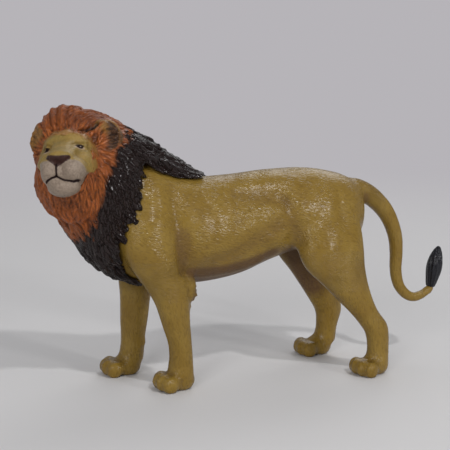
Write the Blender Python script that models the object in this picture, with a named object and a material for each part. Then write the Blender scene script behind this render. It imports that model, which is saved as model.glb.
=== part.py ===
"""A moulded plastic toy lion, standing with its head turned to its left.

The figure is an assembly of separate mouldings that plug into each other: a hollow trunk in two halves,
four legs, a mane that slips over the neck, a face, a tail and a tail tuft. The lion faces -X and stands on
Z = 0. Its skin is drawn once, as one blended form, and then parted along the seams of the mouldings.
"""
import math

import bmesh
import bpy
from mathutils import Matrix, Vector

MM = 0.001

# Fits between the mouldings
GAP = 0.3 * MM

# How finely the forms are blended
SKIN_VOXEL = 0.6 * MM
HAIR_VOXEL = 0.65 * MM
FACE_VOXEL = 0.45 * MM

# Trunk: the lion's body from the rump to the neck stub
BODY_LENGTH = 100 * MM
BACK_HEIGHT = 71 * MM
TRUNK_DEPTH = 36 * MM
TRUNK_WIDTH = 30 * MM
# along the body, height of the middle, half depth, half width, and how far the section leans back
TRUNK_SECTION_SHARES = (
    (0.515, 0.785, 0.120, 0.130, 0),
    (0.490, 0.776, 0.275, 0.270, 0),
    (0.435, 0.776, 0.378, 0.400, 0),
    (0.350, 0.792, 0.408, 0.460, 0),
    (0.260, 0.804, 0.403, 0.445, 0),
    (0.150, 0.780, 0.440, 0.460, 0),
    (0.040, 0.743, 0.482, 0.485, 0),
    (-0.090, 0.724, 0.502, 0.500, 0),
    (-0.200, 0.735, 0.520, 0.495, 2),
    (-0.290, 0.771, 0.542, 0.480, 12),
    (-0.370, 0.840, 0.500, 0.420, 28),
    (-0.430, 0.895, 0.400, 0.350, 40),
    (-0.455, 0.915, 0.200, 0.180, 45),
)
TRUNK_WALL = 2.8 * MM
CAVITY_FRONT = -14 * MM
CAVITY_BACK = 19 * MM

# Legs: height, place along the body, half length, place across the body, half width
# heights are shares of BACK_HEIGHT, lengths of BODY_LENGTH and widths of TRUNK_WIDTH
LEFT_FORELEG_SHARES = (
    (0.890, -0.300, 0.060, 0.267, 0.130),
    (0.792, -0.305, 0.090, 0.367, 0.170),
    (0.680, -0.300, 0.100, 0.390, 0.178),
    (0.583, -0.280, 0.090, 0.387, 0.173),
    (0.500, -0.252, 0.074, 0.380, 0.165),
    (0.417, -0.228, 0.060, 0.377, 0.152),
    (0.306, -0.212, 0.048, 0.377, 0.136),
    (0.208, -0.197, 0.040, 0.377, 0.126),
    (0.132, -0.194, 0.041, 0.377, 0.134),
    (0.065, -0.196, 0.046, 0.377, 0.150),
)
RIGHT_FORELEG_SHARES = (
    (0.890, -0.290, 0.060, 0.267, 0.130),
    (0.792, -0.295, 0.090, 0.367, 0.170),
    (0.680, -0.290, 0.095, 0.390, 0.178),
    (0.583, -0.283, 0.082, 0.387, 0.173),
    (0.500, -0.278, 0.069, 0.380, 0.163),
    (0.389, -0.282, 0.055, 0.377, 0.148),
    (0.278, -0.286, 0.050, 0.377, 0.134),
    (0.181, -0.290, 0.043, 0.377, 0.126),
    (0.118, -0.293, 0.043, 0.377, 0.134),
    (0.065, -0.300, 0.047, 0.377, 0.150),
)
LEFT_HIND_LEG_SHARES = (
    (0.833, 0.335, 0.100, 0.233, 0.130),
    (0.750, 0.340, 0.122, 0.333, 0.180),
    (0.639, 0.345, 0.127, 0.383, 0.197),
    (0.542, 0.362, 0.113, 0.407, 0.190),
    (0.458, 0.396, 0.088, 0.433, 0.174),
    (0.375, 0.435, 0.067, 0.453, 0.153),
    (0.306, 0.472, 0.053, 0.473, 0.136),
    (0.250, 0.504, 0.052, 0.490, 0.126),
    (0.194, 0.521, 0.043, 0.503, 0.120),
    (0.111, 0.523, 0.039, 0.517, 0.123),
    (0.065, 0.517, 0.045, 0.523, 0.142),
)
RIGHT_HIND_LEG_SHARES = (
    (0.833, 0.335, 0.100, 0.233, 0.130),
    (0.750, 0.340, 0.120, 0.333, 0.180),
    (0.639, 0.350, 0.123, 0.377, 0.197),
    (0.542, 0.368, 0.105, 0.400, 0.187),
    (0.458, 0.397, 0.088, 0.417, 0.172),
    (0.375, 0.427, 0.074, 0.430, 0.153),
    (0.292, 0.456, 0.062, 0.440, 0.136),
    (0.229, 0.474, 0.052, 0.450, 0.126),
    (0.153, 0.470, 0.041, 0.457, 0.120),
    (0.097, 0.464, 0.042, 0.460, 0.130),
    (0.062, 0.456, 0.048, 0.463, 0.145),
)
PAW_LENGTH = 14 * MM
PAW_WIDTH = 11.5 * MM
PAW_HEIGHT = 7.6 * MM
# each paw: along the body, across the body, and how far the toes turn outwards
LEFT_FORE_PAW_SHARES = (-0.208, -0.367, 4)
RIGHT_FORE_PAW_SHARES = (-0.326, 0.377, 4)
LEFT_HIND_PAW_SHARES = (0.500, -0.530, 12)
RIGHT_HIND_PAW_SHARES = (0.424, 0.463, 2)
# each toe: along, across and up, in paw lengths, widths and heights, with the toes towards -X
TOE_SHARES = (
    (-0.270, -0.370, 0.340),
    (-0.365, -0.130, 0.370),
    (-0.365, 0.130, 0.370),
    (-0.270, 0.370, 0.340),
)
TOE_RADIUS_SHARES = (0.215, 0.165, 0.400)
PALM_SHARES = (0.090, 0, 0.400)
PALM_RADIUS_SHARES = (0.370, 0.400, 0.540)
ELBOW_TUFT_SHARES = ((-0.172, -0.390, 0.480), (-0.228, 0.390, 0.490))
ELBOW_TUFT_RADIUS_SHARES = (0.025, 0.065, 0.072)

# Tail: along the body and height of its middle, and its radius
TAIL_RADIUS = 4.3 * MM
TAIL_SHARES = (
    (0.440, 0.885, 0.900),
    (0.490, 0.882, 0.960),
    (0.539, 0.862, 0.830),
    (0.593, 0.809, 0.730),
    (0.638, 0.730, 0.640),
    (0.666, 0.640, 0.560),
    (0.674, 0.550, 0.500),
    (0.674, 0.468, 0.455),
    (0.687, 0.390, 0.420),
    (0.718, 0.335, 0.385),
    (0.756, 0.312, 0.350),
    (0.795, 0.327, 0.315),
    (0.824, 0.357, 0.290),
    (0.834, 0.382, 0.270),
)
TUFT_LENGTH = 15.5 * MM
TUFT_RADIUS = 2.75 * MM
TUFT_LEAN = 11
# along the tuft from its root, and its radius
TUFT_SECTION_SHARES = (
    (0.000, 0.480),
    (0.080, 0.640),
    (0.220, 0.800),
    (0.400, 0.980),
    (0.560, 1.000),
    (0.740, 0.820),
    (0.900, 0.460),
    (0.985, 0.160),
)
TAIL_PIN_RADIUS = 0.6 * MM
TAIL_PIN_LENGTH = 4 * MM

# Head: a frame of its own, forwards along the face, sideways to the lion's left, and up
HEAD_SIZE = 22 * MM
HEAD_PLACE_SHARES = (-0.557, -0.333, 1.028)
HEAD_TURN = 25
HEAD_LIFT = 20
HEAD_ROLL = 5
# each swelling of the face: its middle and its radii, in shares of the head's size
FACE_SWELLING_SHARES = (
    ((0.000, 0, 0.090), (0.460, 0.425, 0.490)),
    ((0.160, 0, 0.330), (0.310, 0.350, 0.240)),
    ((0.300, 0, -0.050), (0.420, 0.345, 0.360)),
    ((0.480, 0, -0.160), (0.390, 0.310, 0.290)),
    ((0.250, 0, -0.230), (0.440, 0.320, 0.230)),
    ((0.590, 0, -0.375), (0.250, 0.240, 0.150)),
    ((0.860, 0, 0.000), (0.115, 0.180, 0.085)),
)
FACE_PAIR_SHARES = (
    ((0.650, 0.150, -0.165), (0.285, 0.200, 0.205)),
    ((0.200, 0.250, -0.020), (0.330, 0.150, 0.270)),
    ((0.300, 0.170, 0.340), (0.120, 0.140, 0.080)),
    ((0.380, 0.235, 0.265), (0.060, 0.065, 0.050)),
)
# forwards, up, half width and half height of the bridge of the nose
BRIDGE_SHARES = ((0.100, 0.350, 0.230, 0.170), (0.450, 0.200, 0.210, 0.160), (0.870, 0.000, 0.180, 0.090))
HEAD_BACK_SHARE = -0.300
HEAD_PEG_RADIUS = 3.5 * MM
HEAD_PEG_LENGTH = 4 * MM

# Mane: swellings in the head's frame, then in the body's
RUFF_SWELLING_SHARES = (
    ((-0.120, 0.000, -0.050), (0.460, 0.570, 0.660)),
    ((-0.130, -0.090, 0.420), (0.400, 0.500, 0.610)),
    ((-0.300, 0.080, 0.500), (0.360, 0.480, 0.500)),
    ((-0.040, 0.030, -0.400), (0.360, 0.400, 0.350)),
)
# height of each level, middle along and across the body, half length and half width
MANE_LEVEL_SHARES = (
    (1.250, -0.470, -0.070, 0.040, 0.150),
    (1.190, -0.455, -0.080, 0.110, 0.300),
    (1.100, -0.450, -0.100, 0.140, 0.390),
    (0.985, -0.450, -0.110, 0.150, 0.460),
    (0.875, -0.460, -0.110, 0.143, 0.470),
    (0.775, -0.462, -0.090, 0.113, 0.430),
    (0.690, -0.440, -0.050, 0.090, 0.370),
    (0.605, -0.412, -0.030, 0.070, 0.300),
    (0.540, -0.378, 0.000, 0.048, 0.220),
    (0.505, -0.358, 0.000, 0.025, 0.100),
)
# along the body, height of the middle, half height and half width of the mane down the back of the neck
CAPE_SHARES = (
    (-0.580, 1.195, 0.020, 0.060),
    (-0.565, 1.195, 0.060, 0.170),
    (-0.530, 1.190, 0.100, 0.280),
    (-0.475, 1.168, 0.125, 0.350),
    (-0.400, 1.120, 0.130, 0.370),
    (-0.320, 1.075, 0.115, 0.330),
    (-0.270, 1.045, 0.105, 0.290),
    (-0.210, 1.012, 0.082, 0.230),
    (-0.150, 0.988, 0.054, 0.150),
    (-0.110, 0.978, 0.030, 0.090),
    (-0.090, 0.978, 0.010, 0.030),
)
SKIRT_THICKNESS = 1.3 * MM
# the mane's lower and rear edge in side view, in body lengths and back heights, from the withers down
CAPE_EDGE_SHARES = ((-0.088, 0.984), (-0.125, 0.976), (-0.190, 0.980), (-0.248, 1.008), (-0.318, 1.058))
SKIRT_EDGE_SHARES = (
    (-0.330, 1.020),
    (-0.346, 0.950),
    (-0.350, 0.870),
    (-0.378, 0.815),
    (-0.406, 0.740),
    (-0.413, 0.670),
    (-0.395, 0.600),
)
BIB_EDGE_SHARES = ((-0.350, 0.555), (-0.315, 0.500), (-0.290, 0.455), (-0.380, 0.480), (-0.450, 0.540))
# half of the mane's outline in front view, in trunk widths and back heights: the bib hangs between the legs
BIB_FRONT_SHARES = (
    (0.100, 0.400),
    (0.180, 0.545),
    (0.260, 0.600),
    (0.440, 0.660),
    (0.650, 0.700),
    (1.500, 0.740),
    (1.500, 1.600),
)
MANE_REACH_SHARES = ((-1.000, 0.540), (-1.000, 1.600), (-0.088, 1.600))
LOCK_LENGTH = 3.4 * MM
LOCK_DEPTH = 1.3 * MM
LOCK_NOTCH_SHARE = 0.35
# where the left ear and the right ear stand
EAR_PLACE_SHARES = ((-0.020, 0.520, 0.500), (-0.040, -0.420, 0.470))
EAR_RADIUS_SHARES = (0.110, 0.220, 0.270)
EAR_TURN = 25
EAR_CUP_SHARES = (0.120, 0.000, -0.010)
EAR_CUP_RADIUS_SHARES = (0.130, 0.165, 0.210)

# Seams: outlines in side view (body lengths, back heights) and in front view (trunk widths, back heights)
FORELEG_SEAM_SHARES = (
    (-0.470, -0.070),
    (-0.430, 0.420),
    (-0.410, 0.640),
    (-0.370, 0.800),
    (-0.300, 0.865),
    (-0.225, 0.800),
    (-0.178, 0.670),
    (-0.135, 0.560),
    (-0.115, 0.420),
    (-0.110, -0.070),
)
HIND_LEG_SEAM_SHARES = (
    (0.230, -0.070),
    (0.235, 0.420),
    (0.205, 0.580),
    (0.240, 0.730),
    (0.300, 0.840),
    (0.370, 0.875),
    (0.440, 0.830),
    (0.490, 0.740),
    (0.550, 0.640),
    (0.620, 0.420),
    (0.620, -0.070),
)
LEG_SEAT_ACROSS_SHARE = 0.350
LEG_SEAT_SHARES = (
    (0.040, -0.070),
    (0.040, 0.420),
    (0.120, 0.510),
    (LEG_SEAT_ACROSS_SHARE, 0.690),
    (0.385, 0.930),
)
TAIL_SEAM_SHARES = (
    (0.520, 0.960),
    (0.560, 0.760),
    (0.600, 0.600),
    (0.610, 0.050),
    (0.950, 0.050),
    (0.950, 0.960),
)

# Pegs and pins that hold the mouldings together
LEG_PEG_RADIUS = 2.5 * MM
LEG_KEY_RADIUS = 1.4 * MM
LEG_PEG_REACH = 5 * MM
LEG_PEG_ROOT = 2 * MM
FORELEG_PEG_SHARES = ((-0.300, 0.770), (-0.300, 0.650))
HIND_LEG_PEG_SHARES = ((0.370, 0.780), (0.370, 0.660))
TAIL_PEG_RADIUS = 1.7 * MM
TAIL_PEG_LENGTH = 5 * MM
TAIL_PEG_ROOT = 2 * MM
TAIL_PEG_SHARES = (0.538, 0, 0.862)
HALF_PIN_RADIUS = 1.6 * MM
HALF_PIN_LENGTH = 3.5 * MM
HALF_PIN_SHARES = ((-0.260, 0.940), (-0.200, 0.610), (0.250, 0.700), (0.400, 0.900))

# Rounds of smoothing, and the triangles that each skin is thinned to before it is parted
SKIN_ROUNDS = 6
HAIR_ROUNDS = 12
FACE_ROUNDS = 4
SKIN_TRIANGLES = 5600
MANE_TRIANGLES = 3400
FACE_TRIANGLES = 1500

# The origin lies under the middle of the whole figure, and these reach from it to the middle of the trunk
TRUNK_FORWARD = 8.7 * MM
TRUNK_RIGHT = 5.2 * MM

LOFT_SIDES = 20
LOFT_STEPS = 4
SEAM_STEPS = 2
TUFT_STEPS = 2
ROD_SIDES = 14
SHARP_ANGLE = 50

# Paints
COAT_COLOUR = (0.330, 0.235, 0.070)
COAT_ROUGHNESS = 0.45
MANE_COLOUR = (0.300, 0.090, 0.025)
TUFT_COLOUR = (0.018, 0.018, 0.026)
HAIR_ROUGHNESS = 0.4
FACE_COLOUR = (0.360, 0.300, 0.110)


def clear_objects():
    for obj in list(bpy.data.objects):
        bpy.data.objects.remove(obj, do_unlink=True)


def new_object(name, bm):
    """Turns a bmesh into an object whose faces point outwards."""
    bmesh.ops.recalc_face_normals(bm, faces=bm.faces)
    mesh = bpy.data.meshes.new(name)
    bm.to_mesh(mesh)
    bm.free()
    obj = bpy.data.objects.new(name, mesh)
    bpy.context.scene.collection.objects.link(obj)
    return obj


def copied(obj, name):
    other = bpy.data.objects.new(name, obj.data.copy())
    bpy.context.scene.collection.objects.link(other)
    return other


def dropped(*objects):
    for obj in objects:
        bpy.data.objects.remove(obj, do_unlink=True)


def baked(obj):
    """Gives an object the shape that its modifiers make."""
    bpy.context.view_layer.update()
    depsgraph = bpy.context.evaluated_depsgraph_get()
    shape = bpy.data.meshes.new_from_object(obj.evaluated_get(depsgraph))
    obj.modifiers.clear()
    obj.data = shape
    return obj


def combined(obj, other, operation, keep_other=False):
    """Joins, cuts or intersects an object with another one."""
    modifier = obj.modifiers.new("meet", 'BOOLEAN')
    modifier.operation = operation
    modifier.solver = 'EXACT'
    modifier.object = other
    baked(obj)
    if not keep_other:
        dropped(other)
    return obj


def smooth_rows(rows, steps):
    """Rows read at even steps along a smooth curve through the given rows."""
    def between(a, b, c, d, t):
        bend = 2 * a - 5 * b + 4 * c - d
        turn = 3 * b - a - 3 * c + d
        return (2 * b + (c - a) * t + bend * t ** 2 + turn * t ** 3) / 2
    last = len(rows) - 1
    out = []
    for i in range(last):
        nearby = (rows[max(i - 1, 0)], rows[i], rows[i + 1], rows[min(i + 2, last)])
        for step in range(steps):
            out.append(tuple(between(*values, step / steps) for values in zip(*nearby)))
    out.append(tuple(rows[last]))
    return out


def ring(middle, first, second):
    """Points of an ellipse with the two given half axes."""
    turns = [2 * math.pi * i / LOFT_SIDES for i in range(LOFT_SIDES)]
    return [middle + first * math.cos(turn) + second * math.sin(turn) for turn in turns]


def loft(name, rings):
    """A closed skin through the rings, capped at both ends."""
    bm = bmesh.new()
    loops = [[bm.verts.new(point) for point in points] for points in rings]
    for lower, upper in zip(loops, loops[1:]):
        for i in range(LOFT_SIDES):
            j = (i + 1) % LOFT_SIDES
            bm.faces.new((lower[i], lower[j], upper[j], upper[i]))
    bm.faces.new(loops[0][::-1])
    bm.faces.new(loops[-1])
    return new_object(name, bm)


def ellipsoid(name, frame, middle, radii):
    """An ellipsoid placed and turned by the frame that its middle and radii are measured in."""
    bm = bmesh.new()
    place = frame @ Matrix.Translation(middle) @ Matrix.Diagonal((*radii, 1))
    bmesh.ops.create_uvsphere(bm, u_segments=LOFT_SIDES, v_segments=LOFT_SIDES // 2, radius=1, matrix=place)
    return new_object(name, bm)


def rod(name, start, end, radius):
    """A round rod between two points."""
    bm = bmesh.new()
    axis = end - start
    turn = axis.to_track_quat('Z', 'Y').to_matrix().to_4x4()
    place = Matrix.Translation((start + end) / 2) @ turn
    bmesh.ops.create_cone(bm, cap_ends=True, segments=ROD_SIDES, radius1=radius, radius2=radius,
                          depth=axis.length, matrix=place)
    return new_object(name, bm)


def grown(outline, amount):
    """The outline with each corner moved outwards, so that its sides move by the amount."""
    area = sum(a[0] * b[1] - b[0] * a[1] for a, b in zip(outline, outline[1:] + outline[:1]))
    side = math.copysign(1, area)
    moved = []
    for i, corner in enumerate(outline):
        here = Vector(corner)
        into = (here - Vector(outline[i - 1])).normalized()
        away = (Vector(outline[(i + 1) % len(outline)]) - here).normalized()
        first = Vector((into.y, -into.x)) * side
        second = Vector((away.y, -away.x)) * side
        moved.append(tuple(here + (first + second) * amount / (1 + first.dot(second))))
    return moved


def block(name, outline, low, high, across):
    """The outline drawn out across the body (its side view), or along it (its front view)."""
    def place(u, v, depth):
        return Vector((u, depth, v)) if across else Vector((depth, u, v))
    bm = bmesh.new()
    face = bm.faces.new([bm.verts.new(place(u, v, low)) for u, v in outline])
    drawn = bmesh.ops.extrude_face_region(bm, geom=[face])['geom']
    moved = [item for item in drawn if isinstance(item, bmesh.types.BMVert)]
    bmesh.ops.translate(bm, verts=moved, vec=place(0, 0, high - low))
    return new_object(name, bm)


def trimmed(obj, point, normal):
    """Cuts away what lies beyond a plane, on the side its normal points to, and closes the cut."""
    bm = bmesh.new()
    bm.from_mesh(obj.data)
    everything = bm.verts[:] + bm.edges[:] + bm.faces[:]
    bmesh.ops.bisect_plane(bm, geom=everything, plane_co=point, plane_no=normal, clear_outer=True)
    open_edges = [edge for edge in bm.edges if edge.is_boundary]
    bmesh.ops.holes_fill(bm, edges=open_edges, sides=0)
    bmesh.ops.recalc_face_normals(bm, faces=bm.faces)
    bm.to_mesh(obj.data)
    bm.free()
    return obj


def swollen(obj, name, amount):
    """A copy of a closed form with its skin moved outwards."""
    other = copied(obj, name)
    modifier = other.modifiers.new("swell", 'DISPLACE')
    modifier.mid_level = 0
    modifier.strength = amount
    return baked(other)


def blended(name, forms, voxel, rounds):
    """Melts overlapping closed forms into one smooth form."""
    bm = bmesh.new()
    for form in forms:
        bm.from_mesh(form.data)
    obj = new_object(name, bm)
    dropped(*forms)
    melt = obj.modifiers.new("melt", 'REMESH')
    melt.mode = 'VOXEL'
    melt.voxel_size = voxel
    soften = obj.modifiers.new("soften", 'SMOOTH')
    soften.factor = 0.5
    soften.iterations = rounds
    return baked(obj)


def thinned(obj, triangles):
    """Thins a form to about the given number of triangles."""
    faces = sum(len(polygon.vertices) - 2 for polygon in obj.data.polygons)
    modifier = obj.modifiers.new("thin", 'DECIMATE')
    modifier.ratio = min(1, triangles / faces)
    return baked(obj)


def body_point(along, across, up):
    return Vector((along * BODY_LENGTH, across * TRUNK_WIDTH, up * BACK_HEIGHT))


def trunk_rings(rows, wall):
    rings = []
    for along, up, half_depth, half_width, lean in rows:
        tilt = math.radians(lean)
        upwards = Vector((math.sin(tilt), 0, math.cos(tilt)))
        deep = half_depth * TRUNK_DEPTH - wall
        wide = half_width * TRUNK_WIDTH - wall
        rings.append(ring(body_point(along, 0, up), upwards * deep, Vector((0, wide, 0))))
    return rings


def leg_form(name, shares, side):
    rings = []
    for up, along, half_length, across, half_width in smooth_rows(shares, LOFT_STEPS):
        middle = body_point(along, side * across, up)
        length = Vector((half_length * BODY_LENGTH, 0, 0))
        rings.append(ring(middle, length, Vector((0, half_width * TRUNK_WIDTH, 0))))
    return loft(name, rings)


def paw_forms(name, shares):
    along, across, turn = shares
    outwards = math.copysign(math.radians(turn), across)
    frame = Matrix.Translation(body_point(along, across, 0)) @ Matrix.Rotation(-outwards, 4, 'Z')
    scale = Vector((PAW_LENGTH, PAW_WIDTH, PAW_HEIGHT))
    forms = [ellipsoid(name, frame, scale * Vector(PALM_SHARES), scale * Vector(PALM_RADIUS_SHARES))]
    for toe in TOE_SHARES:
        forms.append(ellipsoid(name, frame, scale * Vector(toe), scale * Vector(TOE_RADIUS_SHARES)))
    return forms


def tail_rings():
    rows = smooth_rows(TAIL_SHARES, LOFT_STEPS)
    middles = [body_point(along, 0, up) for along, up, thickness in rows]
    rings = []
    for i, (along, up, thickness) in enumerate(rows):
        run = (middles[min(i + 1, len(rows) - 1)] - middles[max(i - 1, 0)]).normalized()
        radius = thickness * TAIL_RADIUS
        rings.append(ring(middles[i], Vector((0, radius, 0)), run.cross(Vector((0, 1, 0))) * radius))
    return rings


def make_skin():
    """The whole body in one blended form: trunk, legs, paws and tail, cut flat under the soles."""
    forms = [loft("trunk_form", trunk_rings(smooth_rows(TRUNK_SECTION_SHARES, LOFT_STEPS), 0))]
    forms.append(leg_form("left_foreleg_form", LEFT_FORELEG_SHARES, -1))
    forms.append(leg_form("right_foreleg_form", RIGHT_FORELEG_SHARES, 1))
    forms.append(leg_form("left_hind_leg_form", LEFT_HIND_LEG_SHARES, -1))
    forms.append(leg_form("right_hind_leg_form", RIGHT_HIND_LEG_SHARES, 1))
    forms += paw_forms("left_fore_paw", LEFT_FORE_PAW_SHARES)
    forms += paw_forms("right_fore_paw", RIGHT_FORE_PAW_SHARES)
    forms += paw_forms("left_hind_paw", LEFT_HIND_PAW_SHARES)
    forms += paw_forms("right_hind_paw", RIGHT_HIND_PAW_SHARES)
    for shares in ELBOW_TUFT_SHARES:
        radii = body_point(*ELBOW_TUFT_RADIUS_SHARES)
        forms.append(ellipsoid("elbow_tuft", Matrix.Identity(4), body_point(*shares), radii))
    forms.append(loft("tail_form", tail_rings()))
    skin = blended("skin", forms, SKIN_VOXEL, SKIN_ROUNDS)
    thinned(skin, SKIN_TRIANGLES)
    return trimmed(skin, Vector((0, 0, 0)), Vector((0, 0, -1)))


def leg_zone(side, seam_shares, amount):
    """The space of one leg: its seam in side view, and the seat in the trunk that it plugs against."""
    curve = (seam_shares[0], *smooth_rows(seam_shares[1:-1], SEAM_STEPS), seam_shares[-1])
    seam = [(along * BODY_LENGTH, up * BACK_HEIGHT) for along, up in curve]
    seat = [(side * across * TRUNK_WIDTH, up * BACK_HEIGHT) for across, up in LEG_SEAT_SHARES]
    seat.append((side * TRUNK_WIDTH, seat[-1][1]))
    seat.append((side * TRUNK_WIDTH, seat[0][1]))
    zone = block("leg_zone", grown(seam, amount), -TRUNK_WIDTH, TRUNK_WIDTH, True)
    beyond_seat = block("leg_seat", grown(seat, amount), -BODY_LENGTH, BODY_LENGTH, False)
    return combined(zone, beyond_seat, 'INTERSECT')


def leg_pegs(side, peg_shares, slack):
    """The big peg and the small key peg of one leg, or with some slack their sockets in the trunk."""
    seat = LEG_SEAT_ACROSS_SHARE * TRUNK_WIDTH
    pegs = []
    for (along, up), radius in zip(peg_shares, (LEG_PEG_RADIUS, LEG_KEY_RADIUS)):
        middle = body_point(along, 0, up)
        outer = middle + Vector((0, side * (seat + LEG_PEG_ROOT), 0))
        inner = middle + Vector((0, side * (seat - LEG_PEG_REACH - slack), 0))
        pegs.append(rod("leg_peg", outer, inner, radius + slack))
    return pegs


def tail_zone(amount):
    outline = [(along * BODY_LENGTH, up * BACK_HEIGHT) for along, up in TAIL_SEAM_SHARES]
    return block("tail_zone", grown(outline, amount), -TRUNK_WIDTH, TRUNK_WIDTH, True)


def tail_peg(slack):
    """The peg at the root of the tail, square to the seam on the rump."""
    top, bottom = (Vector((along * BODY_LENGTH, 0, up * BACK_HEIGHT)) for along, up in TAIL_SEAM_SHARES[:2])
    down = (bottom - top).normalized()
    into = Vector((0, 1, 0)).cross(down)
    middle = body_point(*TAIL_PEG_SHARES)
    return rod("tail_peg", middle - into * TAIL_PEG_ROOT, middle + into * (TAIL_PEG_LENGTH + slack),
               TAIL_PEG_RADIUS + slack)


def tuft_frame():
    """The middle of the cut end of the tail, with Z along the tuft."""
    along, up, thickness = TAIL_SHARES[-2]
    return Matrix.Translation(body_point(along, 0, up)) @ Matrix.Rotation(math.radians(TUFT_LEAN), 4, 'Y')


def tuft_pin(slack):
    frame = tuft_frame()
    start = frame @ Vector((0, 0, -TAIL_PIN_LENGTH / 2))
    return rod("tuft_pin", start, frame @ Vector((0, 0, TAIL_PIN_LENGTH + slack)), TAIL_PIN_RADIUS + slack)


def make_leg(name, skin, side, seam_shares, peg_shares):
    leg = combined(copied(skin, name), leg_zone(side, seam_shares, -GAP / 2), 'INTERSECT')
    for peg in leg_pegs(side, peg_shares, 0):
        combined(leg, peg, 'UNION')
    return leg


def make_tail(skin):
    tail = combined(copied(skin, "tail"), tail_zone(-GAP / 2), 'INTERSECT')
    frame = tuft_frame()
    beyond = rod("tail_end", frame.translation, frame @ Vector((0, 0, TUFT_LENGTH)), TUFT_RADIUS)
    combined(tail, beyond, 'DIFFERENCE')
    combined(tail, tail_peg(0), 'UNION')
    return combined(tail, tuft_pin(0), 'UNION')


def make_tuft():
    frame = tuft_frame()
    rings = []
    for along, thickness in smooth_rows(TUFT_SECTION_SHARES, TUFT_STEPS):
        radius = thickness * TUFT_RADIUS
        middle = frame @ Vector((0, 0, GAP + along * TUFT_LENGTH))
        turn = frame.to_3x3()
        rings.append(ring(middle, turn @ Vector((radius, 0, 0)), turn @ Vector((0, radius, 0))))
    return combined(loft("tail_tuft", rings), tuft_pin(GAP), 'DIFFERENCE')


def make_trunk_halves(skin):
    """The trunk without the legs and tail, hollowed in the middle and parted along its mid-plane."""
    trunk = copied(skin, "trunk")
    legs = ((FORELEG_SEAM_SHARES, FORELEG_PEG_SHARES), (HIND_LEG_SEAM_SHARES, HIND_LEG_PEG_SHARES))
    for seam_shares, peg_shares in legs:
        for side in (-1, 1):
            combined(trunk, leg_zone(side, seam_shares, GAP / 2), 'DIFFERENCE')
            for socket in leg_pegs(side, peg_shares, GAP):
                combined(trunk, socket, 'DIFFERENCE')
    combined(trunk, tail_zone(GAP / 2), 'DIFFERENCE')
    combined(trunk, tail_peg(GAP), 'DIFFERENCE')
    rows = [row for row in smooth_rows(TRUNK_SECTION_SHARES, LOFT_STEPS)
            if CAVITY_FRONT <= row[0] * BODY_LENGTH <= CAVITY_BACK]
    combined(trunk, loft("cavity", trunk_rings(rows, TRUNK_WALL)), 'DIFFERENCE')
    everywhere = ((-BODY_LENGTH, -BACK_HEIGHT), (BODY_LENGTH, -BACK_HEIGHT),
                  (BODY_LENGTH, 2 * BACK_HEIGHT), (-BODY_LENGTH, 2 * BACK_HEIGHT))
    left = copied(trunk, "torso_left_half")
    combined(left, block("left_side", everywhere, -TRUNK_WIDTH, -GAP / 2, True), 'INTERSECT')
    right = trunk
    right.name = "torso_right_half"
    combined(right, block("right_side", everywhere, GAP / 2, TRUNK_WIDTH, True), 'INTERSECT')
    for along, up in HALF_PIN_SHARES:
        root = body_point(along, 0, up) - Vector((0, HALF_PIN_LENGTH / 2, 0))
        tip = body_point(along, 0, up) + Vector((0, HALF_PIN_LENGTH, 0))
        combined(left, rod("half_pin", root, tip, HALF_PIN_RADIUS), 'UNION')
        socket = rod("half_socket", root, tip + Vector((0, GAP, 0)), HALF_PIN_RADIUS + GAP)
        combined(right, socket, 'DIFFERENCE')
    return left, right


def head_frame():
    """The head's own frame: X along the face, Y to the lion's left, Z up."""
    turn = Matrix.Rotation(-math.radians(90 + HEAD_TURN), 4, 'Z')
    lift = Matrix.Rotation(-math.radians(HEAD_LIFT), 4, 'Y')
    roll = Matrix.Rotation(math.radians(HEAD_ROLL), 4, 'X')
    return Matrix.Translation(body_point(*HEAD_PLACE_SHARES)) @ turn @ lift @ roll


def head_swelling(name, shares, side=1):
    middle, radii = (Vector(values) * HEAD_SIZE for values in shares)
    middle.y *= side
    return ellipsoid(name, head_frame(), middle, radii)


def face_peg(slack):
    frame = head_frame()
    back = HEAD_BACK_SHARE * HEAD_SIZE
    start = frame @ Vector((back + HEAD_PEG_LENGTH / 2, 0, 0))
    end = frame @ Vector((back - HEAD_PEG_LENGTH - slack, 0, 0))
    return rod("face_peg", start, end, HEAD_PEG_RADIUS + slack)


def make_face():
    """The bare face: skull, brows, muzzle, nose and chin, with a peg at its back."""
    frame = head_frame()
    turn = frame.to_3x3()
    forms = [head_swelling("face_form", shares) for shares in FACE_SWELLING_SHARES]
    for side in (-1, 1):
        forms += [head_swelling("face_form", shares, side) for shares in FACE_PAIR_SHARES]
    bridge = []
    for forwards, up, half_width, half_height in BRIDGE_SHARES:
        middle = frame @ (Vector((forwards, 0, up)) * HEAD_SIZE)
        wide = turn @ Vector((0, half_width * HEAD_SIZE, 0))
        bridge.append(ring(middle, wide, turn @ Vector((0, 0, half_height * HEAD_SIZE))))
    forms.append(loft("bridge", bridge))
    face = blended("face", forms, FACE_VOXEL, FACE_ROUNDS)
    thinned(face, FACE_TRIANGLES)
    trimmed(face, frame @ Vector((HEAD_BACK_SHARE * HEAD_SIZE, 0, 0)), turn @ Vector((-1, 0, 0)))
    return combined(face, face_peg(0), 'UNION')


def spaced(points, pitch):
    """Points at even steps along a run of points."""
    out = [Vector(points[0])]
    ahead = pitch
    for start, end in zip(points, points[1:]):
        start, end = Vector(start), Vector(end)
        length = (end - start).length
        while ahead <= length:
            out.append(start.lerp(end, ahead / length))
            ahead += pitch
        ahead -= length
    return out


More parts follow.
